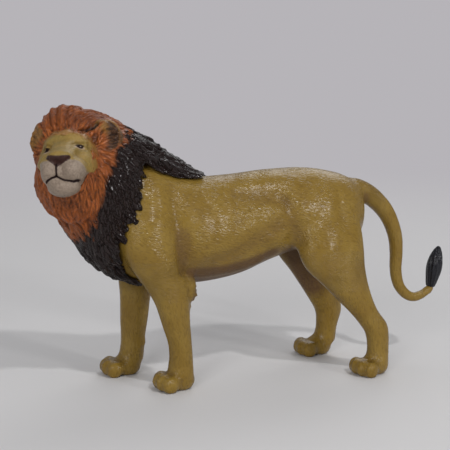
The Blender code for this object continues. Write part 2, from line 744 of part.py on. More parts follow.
def lock_edge(edge):
    """The edge with lock tips along it that stand out to the rear, and notches between them."""
    points = spaced(smooth_rows(edge, LOFT_STEPS), LOCK_LENGTH)
    out = []
    for here, after in zip(points, points[1:]):
        run = (after - here).normalized()
        rearwards = Vector((-run.y, run.x))
        out.append(tuple(here + rearwards * LOCK_DEPTH / 2))
        out.append(tuple(here.lerp(after, LOCK_NOTCH_SHARE) - rearwards * LOCK_DEPTH / 2))
    return out


def mane_outline():
    """The mane's outline in side view."""
    edges = (CAPE_EDGE_SHARES, SKIRT_EDGE_SHARES, BIB_EDGE_SHARES, MANE_REACH_SHARES)
    cape, skirt, bib, beyond = (
        [(along * BODY_LENGTH, up * BACK_HEIGHT) for along, up in edge] for edge in edges)
    return cape + lock_edge(skirt) + bib + beyond


def ear_forms(place):
    """One ear, as a flat shell turned a little outwards, and the hollow of its cup."""
    turn = math.copysign(math.radians(EAR_TURN), place[1])
    frame = head_frame() @ Matrix.Translation(Vector(place) * HEAD_SIZE) @ Matrix.Rotation(turn, 4, 'Z')
    radii = Vector(EAR_RADIUS_SHARES) * HEAD_SIZE
    ear = ellipsoid("ear", frame, Vector((0, 0, 0)), radii)
    cup_radii = Vector(EAR_CUP_RADIUS_SHARES) * HEAD_SIZE
    return ear, ellipsoid("ear_cup", frame, Vector(EAR_CUP_SHARES) * HEAD_SIZE, cup_radii)


def make_mane(skin, face):
    """The mane: a ruff round the face, the mass on the neck and chest, and the cape down to the withers."""
    forms = [head_swelling("ruff_form", shares) for shares in RUFF_SWELLING_SHARES]
    levels = []
    for up, along, across, half_length, half_width in smooth_rows(MANE_LEVEL_SHARES, LOFT_STEPS):
        length = Vector((half_length * BODY_LENGTH, 0, 0))
        levels.append(ring(body_point(along, across, up), length, Vector((0, half_width * TRUNK_WIDTH, 0))))
    forms.append(loft("neck_mane_form", levels))
    cape = []
    for along, up, half_height, half_width in smooth_rows(CAPE_SHARES, LOFT_STEPS):
        height = Vector((0, 0, half_height * BACK_HEIGHT))
        cape.append(ring(body_point(along, 0, up), Vector((0, half_width * TRUNK_WIDTH, 0)), height))
    forms.append(loft("cape_form", cape))
    skirt = swollen(skin, "skirt_form", SKIRT_THICKNESS)
    forms.append(trimmed(skirt, Vector((0, 0, 0)), Vector((1, 0, 0))))
    cups = []
    for place in EAR_PLACE_SHARES:
        ear, cup = ear_forms(place)
        forms.append(ear)
        cups.append(cup)
    mane = thinned(blended("mane", forms, HAIR_VOXEL, HAIR_ROUNDS), MANE_TRIANGLES)
    for cup in cups:
        combined(mane, cup, 'DIFFERENCE')
    side_view = block("mane_side", mane_outline(), -2 * TRUNK_WIDTH, 2 * TRUNK_WIDTH, True)
    combined(mane, side_view, 'INTERSECT')
    half = [(across * TRUNK_WIDTH, up * BACK_HEIGHT) for across, up in BIB_FRONT_SHARES]
    front = half + [(-across, up) for across, up in reversed(half)]
    combined(mane, block("mane_front", front, -2 * BODY_LENGTH, BODY_LENGTH, False), 'INTERSECT')
    combined(mane, swollen(skin, "neck_space", GAP), 'DIFFERENCE')
    return combined(mane, swollen(face, "face_space", GAP), 'DIFFERENCE')


def material(name, colour, roughness):
    made = bpy.data.materials.new(name)
    made.use_nodes = True
    shader = made.node_tree.nodes["Principled BSDF"]
    shader.inputs["Base Color"].default_value = (*colour, 1)
    shader.inputs["Roughness"].default_value = roughness
    shader.inputs["Metallic"].default_value = 0
    return made


def finished(obj, seat, figure, paint):
    """Shades a piece, puts its origin on its seat and hangs it on the figure."""
    obj.data.transform(Matrix.Translation(-seat))
    obj.location = seat
    obj.parent = figure
    obj.data.materials.clear()
    obj.data.materials.append(paint)
    obj.data.shade_smooth()
    obj.data.set_sharp_from_angle(angle=math.radians(SHARP_ANGLE))


def main():
    clear_objects()
    figure = bpy.data.objects.new("figure", None)
    figure.location = (-TRUNK_FORWARD, TRUNK_RIGHT, 0)
    bpy.context.scene.collection.objects.link(figure)
    coat = material("coat_ochre", COAT_COLOUR, COAT_ROUGHNESS)
    skin = make_skin()
    foreleg_seat = body_point(FORELEG_PEG_SHARES[0][0], 0, FORELEG_PEG_SHARES[0][1])
    hind_leg_seat = body_point(HIND_LEG_PEG_SHARES[0][0], 0, HIND_LEG_PEG_SHARES[0][1])
    trunk_seat = body_point(HALF_PIN_SHARES[0][0], 0, HALF_PIN_SHARES[0][1])
    outwards = Vector((0, LEG_SEAT_ACROSS_SHARE * TRUNK_WIDTH, 0))
    for word, side in (("left", -1), ("right", 1)):
        foreleg = make_leg(f"foreleg_{word}", skin, side, FORELEG_SEAM_SHARES, FORELEG_PEG_SHARES)
        finished(foreleg, foreleg_seat + side * outwards, figure, coat)
        hind_leg = make_leg(f"hind_leg_{word}", skin, side, HIND_LEG_SEAM_SHARES, HIND_LEG_PEG_SHARES)
        finished(hind_leg, hind_leg_seat + side * outwards, figure, coat)
    finished(make_tail(skin), body_point(*TAIL_PEG_SHARES), figure, coat)
    black = material("tuft_black", TUFT_COLOUR, HAIR_ROUGHNESS)
    finished(make_tuft(), tuft_frame().translation, figure, black)
    for half in make_trunk_halves(skin):
        finished(half, trunk_seat, figure, coat)
    face = make_face()
    head_seat = body_point(*HEAD_PLACE_SHARES)
    brown = material("mane_brown", MANE_COLOUR, HAIR_ROUGHNESS)
    finished(make_mane(skin, face), head_seat, figure, brown)
    olive = material("face_olive", FACE_COLOUR, COAT_ROUGHNESS)
    finished(face, head_seat, figure, olive)
    dropped(skin)


main()
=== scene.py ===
"""The looks of a moulded toy lion: its painted plastic coat, tail tuft, face and mane."""
import math

import bmesh
import bpy
import numpy as np
from mathutils import Matrix, Vector
from mathutils.bvhtree import BVHTree
from mathutils.kdtree import KDTree


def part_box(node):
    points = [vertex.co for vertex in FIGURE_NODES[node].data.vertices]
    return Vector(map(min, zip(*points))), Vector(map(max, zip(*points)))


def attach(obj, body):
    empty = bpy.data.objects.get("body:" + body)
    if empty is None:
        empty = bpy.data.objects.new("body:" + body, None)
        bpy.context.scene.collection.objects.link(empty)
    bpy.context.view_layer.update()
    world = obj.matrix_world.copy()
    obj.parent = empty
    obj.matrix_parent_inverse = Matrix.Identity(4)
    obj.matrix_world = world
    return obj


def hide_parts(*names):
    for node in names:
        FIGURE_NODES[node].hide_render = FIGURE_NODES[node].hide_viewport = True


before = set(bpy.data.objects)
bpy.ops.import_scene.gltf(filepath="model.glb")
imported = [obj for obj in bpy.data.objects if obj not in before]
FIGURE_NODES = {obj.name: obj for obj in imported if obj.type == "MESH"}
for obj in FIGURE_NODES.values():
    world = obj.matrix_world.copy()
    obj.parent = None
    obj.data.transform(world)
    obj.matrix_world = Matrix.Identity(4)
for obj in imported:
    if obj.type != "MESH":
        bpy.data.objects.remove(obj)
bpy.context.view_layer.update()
MM = 0.001

# The camera stands in front of the lion's left shoulder, a little above its back, and leans one degree.
CAMERA_AIM = Vector((-8.7, 5.2, 52.3)) * MM
CAMERA_DISTANCE = 380 * MM
CAMERA_AZIMUTH = math.radians(-22)
CAMERA_HEIGHT_ANGLE = math.radians(9)
CAMERA_LEAN = math.radians(1)
CAMERA_LENS = 89.4
CAMERA_CLIP = 10 * MM


def bare_object(name, data):
    made = bpy.data.objects.new(name, data)
    bpy.context.scene.collection.objects.link(made)
    return made


camera_data = bpy.data.cameras.new("camera")
camera_data.lens = CAMERA_LENS
camera_data.clip_start = CAMERA_CLIP
camera = bare_object("camera", camera_data)
bpy.context.scene.camera = camera
camera_way = Vector((
    math.sin(CAMERA_AZIMUTH) * math.cos(CAMERA_HEIGHT_ANGLE),
    -math.cos(CAMERA_AZIMUTH) * math.cos(CAMERA_HEIGHT_ANGLE),
    math.sin(CAMERA_HEIGHT_ANGLE),
))
camera.location = CAMERA_AIM + camera_way * CAMERA_DISTANCE
camera_turn = camera_way.to_track_quat('Z', 'Y').to_matrix().to_4x4() @ Matrix.Rotation(CAMERA_LEAN, 4, 'Z')
camera.rotation_euler = camera_turn.to_euler()

# The studio: a pale matt floor that curves up all round and fades into a plain backdrop, a soft lamp in front
# of the lion's left shoulder, small ones that put sparks on the fur, a weak one from behind, a pale world.

# half of the floor's outline, in metres: reach from the middle, then rise
FLOOR_PROFILE = (
    (0.0, 0.0), (1.10, 0.0), (1.30, 0.02), (1.46, 0.10), (1.56, 0.24), (1.60, 0.45), (1.60, 0.70),
)
FLOOR_STEPS = 64
FLOOR_WELD = 0.01 * MM
FLOOR_COLOUR = (0.66, 0.65, 0.65)
FLOOR_ROUGHNESS = 0.9
BACKDROP_COLOUR = (0.47, 0.455, 0.48)
BACKDROP_FADE = (0.20, 0.75)
LAMPS = (
    # name, place, size, watts
    ("key_lamp", (-0.62, -0.76, 0.46), 0.40, 3.5),
    ("spark_lamp", (0.13, -0.60, 0.79), 0.05, 2.3),
    ("side_lamp", (0.44, -0.84, 0.30), 0.10, 2.1),
    ("rim_lamp", (0.50, 0.60, 0.70), 0.60, 2.2),
)
WORLD_COLOUR = (0.84, 0.85, 0.88)
WORLD_STRENGTH = 0.43


class Paint:
    """A procedural paint: short calls that add nodes and link them."""

    def __init__(self, name, roughness, specular=0.5):
        self.material = bpy.data.materials.new(name)
        self.material.use_nodes = True
        self.nodes = self.material.node_tree.nodes
        self.links = self.material.node_tree.links
        self.shader = self.nodes["Principled BSDF"]
        self.shader.inputs["Roughness"].default_value = roughness
        self.shader.inputs["Specular IOR Level"].default_value = specular
        self.place = self.nodes.new("ShaderNodeTexCoord").outputs["Object"]

    def join(self, value, socket):
        if isinstance(value, bpy.types.NodeSocket):
            self.links.new(value, socket)
        elif hasattr(socket.default_value, "__len__") and len(socket.default_value) == 4:
            socket.default_value = (*value, 1)
        else:
            socket.default_value = value

    def math(self, operation, first, second, clamp=False):
        node = self.nodes.new("ShaderNodeMath")
        node.operation = operation
        node.use_clamp = clamp
        self.join(first, node.inputs[0])
        self.join(second, node.inputs[1])
        return node.outputs[0]

    def vector(self, operation, first, second=(0, 0, 0), scale=1.0):
        node = self.nodes.new("ShaderNodeVectorMath")
        node.operation = operation
        self.join(first, node.inputs[0])
        self.join(second, node.inputs[1])
        self.join(scale, node.inputs[3])
        return node.outputs["Value" if operation in ('DOT_PRODUCT', 'LENGTH') else "Vector"]

    def tone(self, name):
        node = self.nodes.new("ShaderNodeAttribute")
        node.attribute_name = name
        return node.outputs["Fac"]

    def noise(self, place, scale, detail=2.0, roughness=0.5):
        node = self.nodes.new("ShaderNodeTexNoise")
        self.join(place, node.inputs["Vector"])
        node.inputs["Scale"].default_value = scale
        node.inputs["Detail"].default_value = detail
        node.inputs["Roughness"].default_value = roughness
        return node.outputs["Fac"]

    def spread(self, value, low, high, to_low=0.0, to_high=1.0, easing='LINEAR'):
        node = self.nodes.new("ShaderNodeMapRange")
        node.interpolation_type = easing
        for socket, number in zip(node.inputs, (value, low, high, to_low, to_high)):
            self.join(number, socket)
        return node.outputs[0]

    def mix(self, share, first, second):
        node = self.nodes.new("ShaderNodeMix")
        node.data_type = 'RGBA'
        self.join(share, node.inputs[0])
        self.join(first, node.inputs[6])
        self.join(second, node.inputs[7])
        return node.outputs[2]

    def relief(self, height, distance):
        node = self.nodes.new("ShaderNodeBump")
        node.inputs["Strength"].default_value = 1.0
        node.inputs["Distance"].default_value = distance * MM
        self.join(height, node.inputs["Height"])
        return node.outputs["Normal"]

    def finish(self, colour, normal=None, roughness=None):
        self.join(colour, self.shader.inputs["Base Color"])
        if normal is not None:
            self.join(normal, self.shader.inputs["Normal"])
        if roughness is not None:
            self.join(roughness, self.shader.inputs["Roughness"])
        return self.material


bm = bmesh.new()
profile = [bm.verts.new((reach, 0, rise)) for reach, rise in FLOOR_PROFILE]
profile_edges = [bm.edges.new(pair) for pair in zip(profile, profile[1:])]
bmesh.ops.spin(bm, geom=profile + profile_edges, axis=(0, 0, 1), steps=FLOOR_STEPS, angle=2 * math.pi,
               use_merge=True)
bmesh.ops.remove_doubles(bm, verts=bm.verts, dist=FLOOR_WELD)
bmesh.ops.recalc_face_normals(bm, faces=bm.faces)
if sum(face.normal.z for face in bm.faces) < 0:
    bmesh.ops.reverse_faces(bm, faces=bm.faces)
floor_mesh = bpy.data.meshes.new("floor")
bm.to_mesh(floor_mesh)
bm.free()
floor_mesh.shade_smooth()
floor_paint = Paint("floor_paint", FLOOR_ROUGHNESS)
backdrop = floor_paint.nodes.new("ShaderNodeEmission")
floor_paint.join(BACKDROP_COLOUR, backdrop.inputs["Color"])
reach = floor_paint.vector('LENGTH', floor_paint.place)
fading = floor_paint.spread(reach, *BACKDROP_FADE, easing='SMOOTHSTEP')
seen = floor_paint.nodes.new("ShaderNodeLightPath").outputs["Is Camera Ray"]
floor_mix = floor_paint.nodes.new("ShaderNodeMixShader")
floor_paint.join(floor_paint.math('MULTIPLY', fading, seen), floor_mix.inputs[0])
floor_paint.join(floor_paint.shader.outputs[0], floor_mix.inputs[1])
floor_paint.join(backdrop.outputs[0], floor_mix.inputs[2])
floor_paint.join(floor_mix.outputs[0], floor_paint.nodes["Material Output"].inputs["Surface"])
floor_mesh.materials.append(floor_paint.finish(FLOOR_COLOUR))
floor = bare_object("floor", floor_mesh)

for lamp_name, place, size, watts in LAMPS:
    lamp_data = bpy.data.lights.new(lamp_name, 'AREA')
    lamp_data.size = size
    lamp_data.energy = watts
    lamp = bare_object(lamp_name, lamp_data)
    lamp.location = place
    lamp.rotation_euler = (Vector(place) - CAMERA_AIM).to_track_quat('Z', 'Y').to_euler()
world = bpy.data.worlds.new("studio")
world.use_nodes = True
world.node_tree.nodes["Background"].inputs["Color"].default_value = (*WORLD_COLOUR, 1)
world.node_tree.nodes["Background"].inputs["Strength"].default_value = WORLD_STRENGTH
bpy.context.scene.world = world
bpy.context.scene.view_settings.view_transform = 'Standard'


# The coat: trunk, legs and tail, moulded in ochre plastic with short fur in low relief. The mouldings meet in
# seams too fine to see. Its underside has a thin brown wash, and painted shade darkens the grooves of its
# flank, the insides of its thighs and its hocks.
COAT_NODES = (
    "torso_left_half",
    "torso_right_half",
    "foreleg_left",
    "foreleg_right",
    "hind_leg_left",
    "hind_leg_right",
    "tail",
)
SEAM_FILL = 0.35
CAST_WELD = 0.001 * MM
COAT_GRAIN = 0.42
COAT_ROUNDS = 90
HALF_GAP = 0.15
MID_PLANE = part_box("torso_right_half")[0].y / MM - HALF_GAP
# where the skin is smoothed less, in mm: up the legs from the paws, near the elbows, and along the tail
PAW_TOP = 6
LEG_RUN = 34
PAW_SHARE = 0.20
ELBOW_REACH = 9
ELBOW_SHARE = 0.1
TAIL_START = 56
TAIL_RUN = 12
TAIL_SHARE = 0.25
# how far the skin stands off along the tail, and on top of its root: places along the lion, then mm
TAIL_SWELL = ((52, 57), (0, 0.32))
TAIL_ROOT_RISE = ((30, 41, 54, 62), (0, 0.6, 0.6, 0))
TAIL_ROOT_LEVEL = ((50, 56), (0, 1))
# strokes of the modelling tool, in mm: points as along, across from the mid-plane, up; then width and height
COAT_STROKES = (
    # edge of the long hair under the belly
    (((-24.0, 10.5, 37.0), (-12.0, 10.5, 37.3), (0.0, 9.0, 41.0)), 2.4, 0.45),
    # pad behind the right wrist
    (((-34.9, 8.6, 11.3),), 1.6, 0.70),
    # groove behind the shoulder
    (((-32.0, 12.5, 66), (-31.0, 14.5, 56), (-30.2, 14.5, 48), (-28.8, 14.5, 40)), 2.8, -0.75),
    # shoulder blade and point of the shoulder
    (((-37.0, 11.0, 68), (-39.0, 14.0, 58)), 4.5, 0.55),
    (((-41.0, 14.5, 50), (-38.0, 15.5, 44)), 4.0, 0.35),
    # withers
    (((-28.0, 3.0, 70),), 5.0, 0.30),
    # loin hollow in front of the hip bone
    (((-9.0, 10.5, 65), (0.0, 11.0, 64), (8.0, 12.4, 61.5)), 3.2, -0.75),
    # groove in front of the thigh
    (((8.5, 12.4, 61), (10.5, 13.5, 55), (13.0, 14.0, 47)), 2.8, -0.65),
    # edge of the ribs running down to the belly
    (((5.0, 13.6, 54), (-1.0, 13.7, 49.5), (-9.0, 13.4, 45), (-17.0, 13.0, 42.5)), 2.6, -0.45),
    # fold of skin from flank to groin
    (((2.0, 12.5, 50.5), (5.5, 12.5, 47.5), (9.0, 12.5, 43.5)), 2.6, 0.70),
    # hip bone and croup
    (((6.0, 8.5, 69), (12.0, 9.0, 67.5)), 3.8, 0.50),
    (((30.0, 7.5, 64),), 4.5, 0.35),
    # thigh
    (((18.0, 15.0, 58), (22.0, 15.5, 48), (19.0, 15.5, 40)), 5.5, 0.55),
    (((28.5, 14.0, 60), (30.0, 15.0, 46)), 2.6, -0.35),
    # ribs
    (((-23.0, 13.5, 62), (-20.0, 14.5, 50)), 1.6, 0.12),
    (((-17.5, 13.5, 62), (-14.5, 14.5, 50)), 1.6, 0.12),
    (((-12.0, 13.5, 61), (-9.0, 14.5, 51)), 1.6, 0.10),
)
ELBOWS = ((-26.0, -6.5, 33.1), (-31.6, 16.9, 33.8))
ELBOW_LOCKS = (
    # ragged hair behind each elbow: back, across and up to the tip, then radius
    (1.2, 0.4, 2.4, 0.8),
    (2.7, -0.3, 1.2, 0.75),
    (3.2, 0.5, -0.4, 0.7),
    (3.2, -0.2, -2.0, 0.75),
    (2.5, 0.4, -3.6, 0.7),
    (1.4, 0.3, -5.8, 0.8),
    (1.9, 1.3, -0.6, 0.7),
)
# strokes of the brown wash and of the painted shade: points as above, then width and strength
WASH_AND_SHADE_STROKES = (
    (((-29.0, 14.5, 52), (-28.0, 14.5, 41)), 3.0, 0.45),
    (((-23.0, 11.5, 35), (-24.0, 11.5, 29)), 1.6, 0.55),
    (((-9.0, 10.5, 65), (8.0, 12.4, 61.5), (13.0, 14.0, 47)), 3.2, 0.22),
    (((5.0, 13.6, 54), (-9.0, 13.4, 45), (-24.0, 13.0, 41.5)), 3.2, 0.25),
    (((-25.0, 4.0, 34.0), (-10.0, 4.0, 34.5), (3.0, 3.0, 39.5)), 7.0, 1.00),
    (((-25.0, 10.5, 38.3), (-12.0, 10.5, 38.4), (-2.0, 9.5, 41.5), (5.0, 9.0, 44.0)), 3.2, 0.95),
    (((-22.5, 12.0, 36.0), (-22.5, 12.0, 31.0)), 1.6, 0.75),
    (((-30.0, 4.0, 36), (-30.0, 6.0, 30)), 6.0, 0.50),
    (((12.0, 3.0, 44), (22.0, 5.0, 36), (28.0, 8.0, 28)), 7.5, 1.00),
    (((42.0, 3.5, 54), (43.0, 3.5, 60)), 2.6, 0.60),
)


def baked_mesh(obj):
    """The mesh that an object's modifiers make; the object goes."""
    graph = bpy.context.evaluated_depsgraph_get()
    mesh = bpy.data.meshes.new_from_object(obj.evaluated_get(graph))
    bpy.data.objects.remove(obj)
    return mesh


def cad_meshes(*names):
    return [FIGURE_NODES[name].data for name in names]


def cast_from(meshes, fill, grain):
    """One closed skin cast round some meshes, with the fits between them filled."""
    bm = bmesh.new()
    for mesh in meshes:
        bm.from_mesh(mesh)
    bmesh.ops.remove_doubles(bm, verts=bm.verts, dist=CAST_WELD)
    bmesh.ops.triangulate(bm, faces=bm.faces)
    mesh = bpy.data.meshes.new("casting")
    bm.to_mesh(mesh)
    bm.free()
    cast = bare_object("casting", mesh)
    swell = cast.modifiers.new("swell", 'DISPLACE')
    swell.mid_level = 0
    swell.strength = fill * MM
    melt = cast.modifiers.new("melt", 'REMESH')
    melt.mode = 'VOXEL'
    melt.voxel_size = grain * MM
    shrink = cast.modifiers.new("shrink", 'DISPLACE')
    shrink.mid_level = 0
    shrink.strength = -fill * MM
    return baked_mesh(cast)


def skin_of(meshes):
    """A skin over all faces of some meshes, on which to find places."""
    bm = bmesh.new()
    for mesh in meshes:
        bm.from_mesh(mesh)
    skin = BVHTree.FromBMesh(bm)
    bm.free()
    return skin


def points_of(mesh):
    """The mesh's points, in mm."""
    flat = np.empty(3 * len(mesh.vertices))
    mesh.vertices.foreach_get("co", flat)
    return flat.reshape(-1, 3) / MM


def set_points(mesh, points):
    mesh.vertices.foreach_set("co", (points * MM).ravel())
    mesh.update()


def normals_of(mesh):
    flat = np.empty(3 * len(mesh.vertices))
    mesh.vertex_normals.foreach_get("vector", flat)
    return flat.reshape(-1, 3)


def links_of(mesh):
    """The two ends of each edge, and how many edges each point has."""
    flat = np.empty(2 * len(mesh.edges), dtype=int)
    mesh.edges.foreach_get("vertices", flat)
    ends = flat.reshape(-1, 2).T
    return ends[0], ends[1], np.maximum(np.bincount(flat, minlength=len(mesh.vertices)), 1)


def relaxed(values, links, rounds, ease=1.0):
    """Values drawn, round by round, half of the way to the mean of their neighbours."""
    first, second, count = links
    columns = values.reshape(len(values), -1).copy()
    share = np.broadcast_to(ease, len(values)) / 2
    for _ in range(rounds):
        for column in columns.T:
            total = np.bincount(first, column[second], len(column))
            total += np.bincount(second, column[first], len(column))
            column += share * (total / count - column)
    return columns.reshape(values.shape)


def smoothed(points, links, rounds, ease=1.0):
    """Points smoothed with their size kept: what the first smoothing took is smoothed and put back."""
    soft = relaxed(points, links, rounds, ease)
    return soft + relaxed(points - soft, links, rounds, ease)


def stroke_distance(points, path):
    """How far each point lies from a path of points."""
    path = np.array(path, float)
    nearest = np.full(len(points), np.inf)
    for start, end in zip(path, path[1:] if len(path) > 1 else path):
        run = end - start
        share = np.clip((points - start) @ run / max(run @ run, 1e-9), 0, 1)
        nearest = np.minimum(nearest, np.linalg.norm(points - start - share[:, None] * run, axis=1))
    return nearest


def stroke_weight(points, path, width):
    """How strongly a stroke along a path of points works at each point, from 0 to 1."""
    return np.exp(-(stroke_distance(points, path) / width) ** 2)


def set_tone(mesh, name, values):
    """Stores one number for each point, for the paint to read."""
    tone = mesh.attributes.new(name, 'FLOAT', 'POINT')
    tone.data.foreach_set("value", values.astype(np.float32))


def hollowness(mesh, links, rounds, depth):
    """How deep each point lies in a crease: 1 at the given depth in mm or more, 0 on flat or raised skin."""
    points = points_of(mesh)
    sunk = ((relaxed(points, links, rounds) - points) * normals_of(mesh)).sum(axis=1)
    return np.clip(sunk / depth, 0, 1)


def hair_tubes(paths):
    """One mesh of tapered locks, each along a path of points with a radius at each, in mm."""
    curve = bpy.data.curves.new("locks", 'CURVE')
    curve.dimensions = '3D'
    curve.bevel_depth = MM
    curve.bevel_resolution = 2
    curve.use_fill_caps = True
    for path in paths:
        spline = curve.splines.new('POLY')
        spline.points.add(len(path) - 1)
        for point, (place, radius) in zip(spline.points, path):
            point.co = (*(np.array(place) * MM), 1)
            point.radius = radius
    return baked_mesh(bare_object("locks", curve))


elbow_hair = []
for elbow in ELBOWS:
    for back, across, up, radius in ELBOW_LOCKS:
        tip = np.array(elbow) + (back, across, up)
        elbow_hair.append((
            (tip + (-3.8, 0, 2.6), 0.9),
            (tip + (-1.6, 0, 1.2), radius),
            (tip + (-0.4, 0, 0.3), 0.6 * radius),
            (tip, 0.2),
        ))
coat_mesh = cast_from([hair_tubes(elbow_hair), *cad_meshes(*COAT_NODES)], SEAM_FILL, COAT_GRAIN)
coat_links = links_of(coat_mesh)
coat_points = points_of(coat_mesh)
smooth_share = np.clip((coat_points[:, 2] - PAW_TOP) / LEG_RUN, PAW_SHARE, 1)
for elbow in ELBOWS:
    smooth_share *= np.clip(np.linalg.norm(coat_points - elbow, axis=1) / ELBOW_REACH, ELBOW_SHARE, 1) ** 2
smooth_share *= np.clip((TAIL_START - coat_points[:, 0]) / TAIL_RUN, TAIL_SHARE, 1)
coat_points = smoothed(coat_points, coat_links, COAT_ROUNDS, smooth_share)
set_points(coat_mesh, coat_points)
folded = coat_points.copy()
folded[:, 1] = np.abs(coat_points[:, 1] - MID_PLANE)
coat_lift = np.zeros(len(coat_points))
for path, width, height in COAT_STROKES:
    coat_lift += height * stroke_weight(folded, path, width)
on_tail = np.interp(coat_points[:, 0], *TAIL_SWELL)
tail_root = np.interp(coat_points[:, 0], *TAIL_ROOT_RISE)
tail_root *= np.clip(normals_of(coat_mesh)[:, 2], 0, 1) * np.interp(coat_points[:, 2], *TAIL_ROOT_LEVEL)
coat_lift += on_tail + tail_root
coat_points += normals_of(coat_mesh) * coat_lift[:, None]
coat_points[:, 2] = np.maximum(coat_points[:, 2], 0)
set_points(coat_mesh, coat_points)
# the brown wash under the belly, and painted shade in the grooves and on the insides of the thighs
wash_and_shade = np.zeros(len(coat_points))
for path, width, strength in WASH_AND_SHADE_STROKES:
    wash_and_shade = np.maximum(wash_and_shade, strength * np.clip(2 * stroke_weight(folded, path, width) - 0.5, 0, 1))
set_tone(coat_mesh, "wash_and_shade", wash_and_shade)
# how deep each point lies in a crease, for the painted shade there
set_tone(coat_mesh, "hollow", hollowness(coat_mesh, coat_links, rounds=5, depth=0.06))
coat_normals = coat_mesh.attributes.new("skin_normal", 'FLOAT_VECTOR', 'POINT')
coat_normals.data.foreach_set("vector", normals_of(coat_mesh).astype(np.float32).ravel())


COAT_COLOUR = (0.205, 0.123, 0.019)
COAT_LIGHT = (0.245, 0.155, 0.029)
COAT_DARK = (0.110, 0.060, 0.012)
WASH_AND_SHADE_COLOUR = (0.092, 0.044, 0.019)
FUR_CELL = 2.2
FUR_STRETCH = 0.80
FUR_FINENESS = 1.9
FUR_HEIGHT = 0.38
COAT_ROUGHNESS = 0.24
WASH_AND_SHADE_ROUGHNESS = 0.42
COAT_SPECULAR = 0.28
# the fur turns to lie downwards between these heights on the legs, and these places along the tail, in mm
LEG_FUR = (44, 30)
TAIL_FUR = (40, 52)

coat = Paint("coat_paint", COAT_ROUGHNESS, COAT_SPECULAR)
coat_place = coat.vector('SCALE', coat.place, scale=1 / MM)
tufts = coat.nodes.new("ShaderNodeTexVoronoi")
tufts.inputs["Scale"].default_value = 1 / FUR_CELL
coat.join(coat_place, tufts.inputs["Vector"])
tuft_place = tufts.outputs["Position"]
split = coat.nodes.new("ShaderNodeSeparateXYZ")
coat.join(coat_place, split.inputs[0])
down_leg = coat.spread(split.outputs["Z"], *LEG_FUR)
down_tail = coat.spread(split.outputs["X"], *TAIL_FUR)
down = coat.math('MAXIMUM', down_leg, down_tail)
lay = coat.nodes.new("ShaderNodeCombineXYZ")
coat.join(coat.spread(down, 0, 1, 1.0, 0.15), lay.inputs["X"])
coat.join(coat.spread(coat.noise(tuft_place, 0.9), 0.3, 0.7, -0.5, 0.5), lay.inputs["Y"])
down_lay = coat.spread(down, 0, 1, -0.25, -1.0)
waver = coat.spread(coat.noise(tuft_place, 1.3), 0.3, 0.7, -0.35, 0.35)
coat.join(coat.math('ADD', down_lay, waver), lay.inputs["Z"])
lay_way = coat.vector('NORMALIZE', lay.outputs[0])
along = coat.vector('DOT_PRODUCT', coat_place, lay_way)
pulled = coat.vector('SCALE', lay_way, scale=coat.math('MULTIPLY', along, -FUR_STRETCH))
fur_place = coat.vector('ADD', coat_place, pulled)
fur = coat.noise(fur_place, FUR_FINENESS, 1.0, 0.4)
mottle = coat.noise(coat_place, 0.12, 3.0)
coat_colour = coat.mix(coat.spread(mottle, 0.35, 0.65), COAT_COLOUR, COAT_LIGHT)
# the fur is painted darker in the grooves between its streaks: partly its own streaks, partly painted shade
coat_colour = coat.mix(coat.spread(fur, 0.5, 0.25, 0.0, 0.45), coat_colour, COAT_DARK)
# painted shade in the creases of the coat
coat_colour = coat.mix(coat.math('MULTIPLY', coat.tone("hollow"), 0.8, clamp=True), coat_colour, COAT_DARK)
# the brown wash and the painted shade in the grooves and on the insides of the thighs
wash_and_shade_share = coat.math('MULTIPLY', coat.tone("wash_and_shade"), coat.spread(fur, 0.3, 0.7, 1.0, 0.7), clamp=True)
coat_colour = coat.mix(wash_and_shade_share, coat_colour, WASH_AND_SHADE_COLOUR)
brushed = coat.spread(coat.noise(coat_place, 0.16, 1.0), 0.40, 0.62, 0.40, 0.95)
coat_roughness = coat.spread(wash_and_shade_share, 0, 1, COAT_ROUGHNESS, WASH_AND_SHADE_ROUGHNESS)
fur_relief = coat.relief(coat.math('MULTIPLY', fur, brushed), FUR_HEIGHT)
coat_paint = coat.finish(coat_colour, fur_relief, coat_roughness)

# the skin is parted where the mouldings meet, and each part stands for its moulding, closed by a lid that
# lies this deep under its rim, in mm
LID_DEPTH = 0.3
owners = np.repeat(range(len(COAT_NODES)), [len(mesh.polygons) for mesh in cad_meshes(*COAT_NODES)])
solids = skin_of(cad_meshes(*COAT_NODES))
nearest_owner = np.array([owners[solids.find_nearest(Vector(point) * MM)[2]] for point in coat_points])
for owner, name in enumerate(COAT_NODES):
    bm = bmesh.new()
    bm.from_mesh(coat_mesh)
    bm.verts.ensure_lookup_table()
    away = [face for face in bm.faces if nearest_owner[face.verts[0].index] != owner]
    bmesh.ops.delete(bm, geom=away, context='FACES')
    rim = [edge for edge in bm.edges if edge.is_boundary]
    for edge in rim:
        edge.smooth = False
    skin_corners = sum(len(face.verts) for face in bm.faces)
    bmesh.ops.extrude_edge_only(bm, edges=rim)
    lid_rim = [edge for edge in bm.edges if edge.is_boundary]
    skin_normal = bm.verts.layers.float_vector["skin_normal"]
    for vert in {vert for edge in lid_rim for vert in edge.verts}:
        vert.co -= vert[skin_normal] * LID_DEPTH * MM
    bmesh.ops.holes_fill(bm, edges=lid_rim, sides=0)
    part_mesh = bpy.data.meshes.new("coat_" + name)
    bm.to_mesh(part_mesh)
    bm.free()
    part_mesh.materials.append(coat_paint)
    part_mesh.shade_smooth()
    flat = np.empty(3 * len(part_mesh.vertices))
    part_mesh.attributes["skin_normal"].data.foreach_get("vector", flat)
    corners = np.empty(len(part_mesh.loops), dtype=int)
    part_mesh.loops.foreach_get("vertex_index", corners)
    corner_normals = flat.reshape(-1, 3)[corners]
    corner_normals[skin_corners:] = 0
    part_mesh.normals_split_custom_set(corner_normals.tolist())
    part = bare_object("coat_" + name, part_mesh)
    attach(part, "root")
    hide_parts(name)


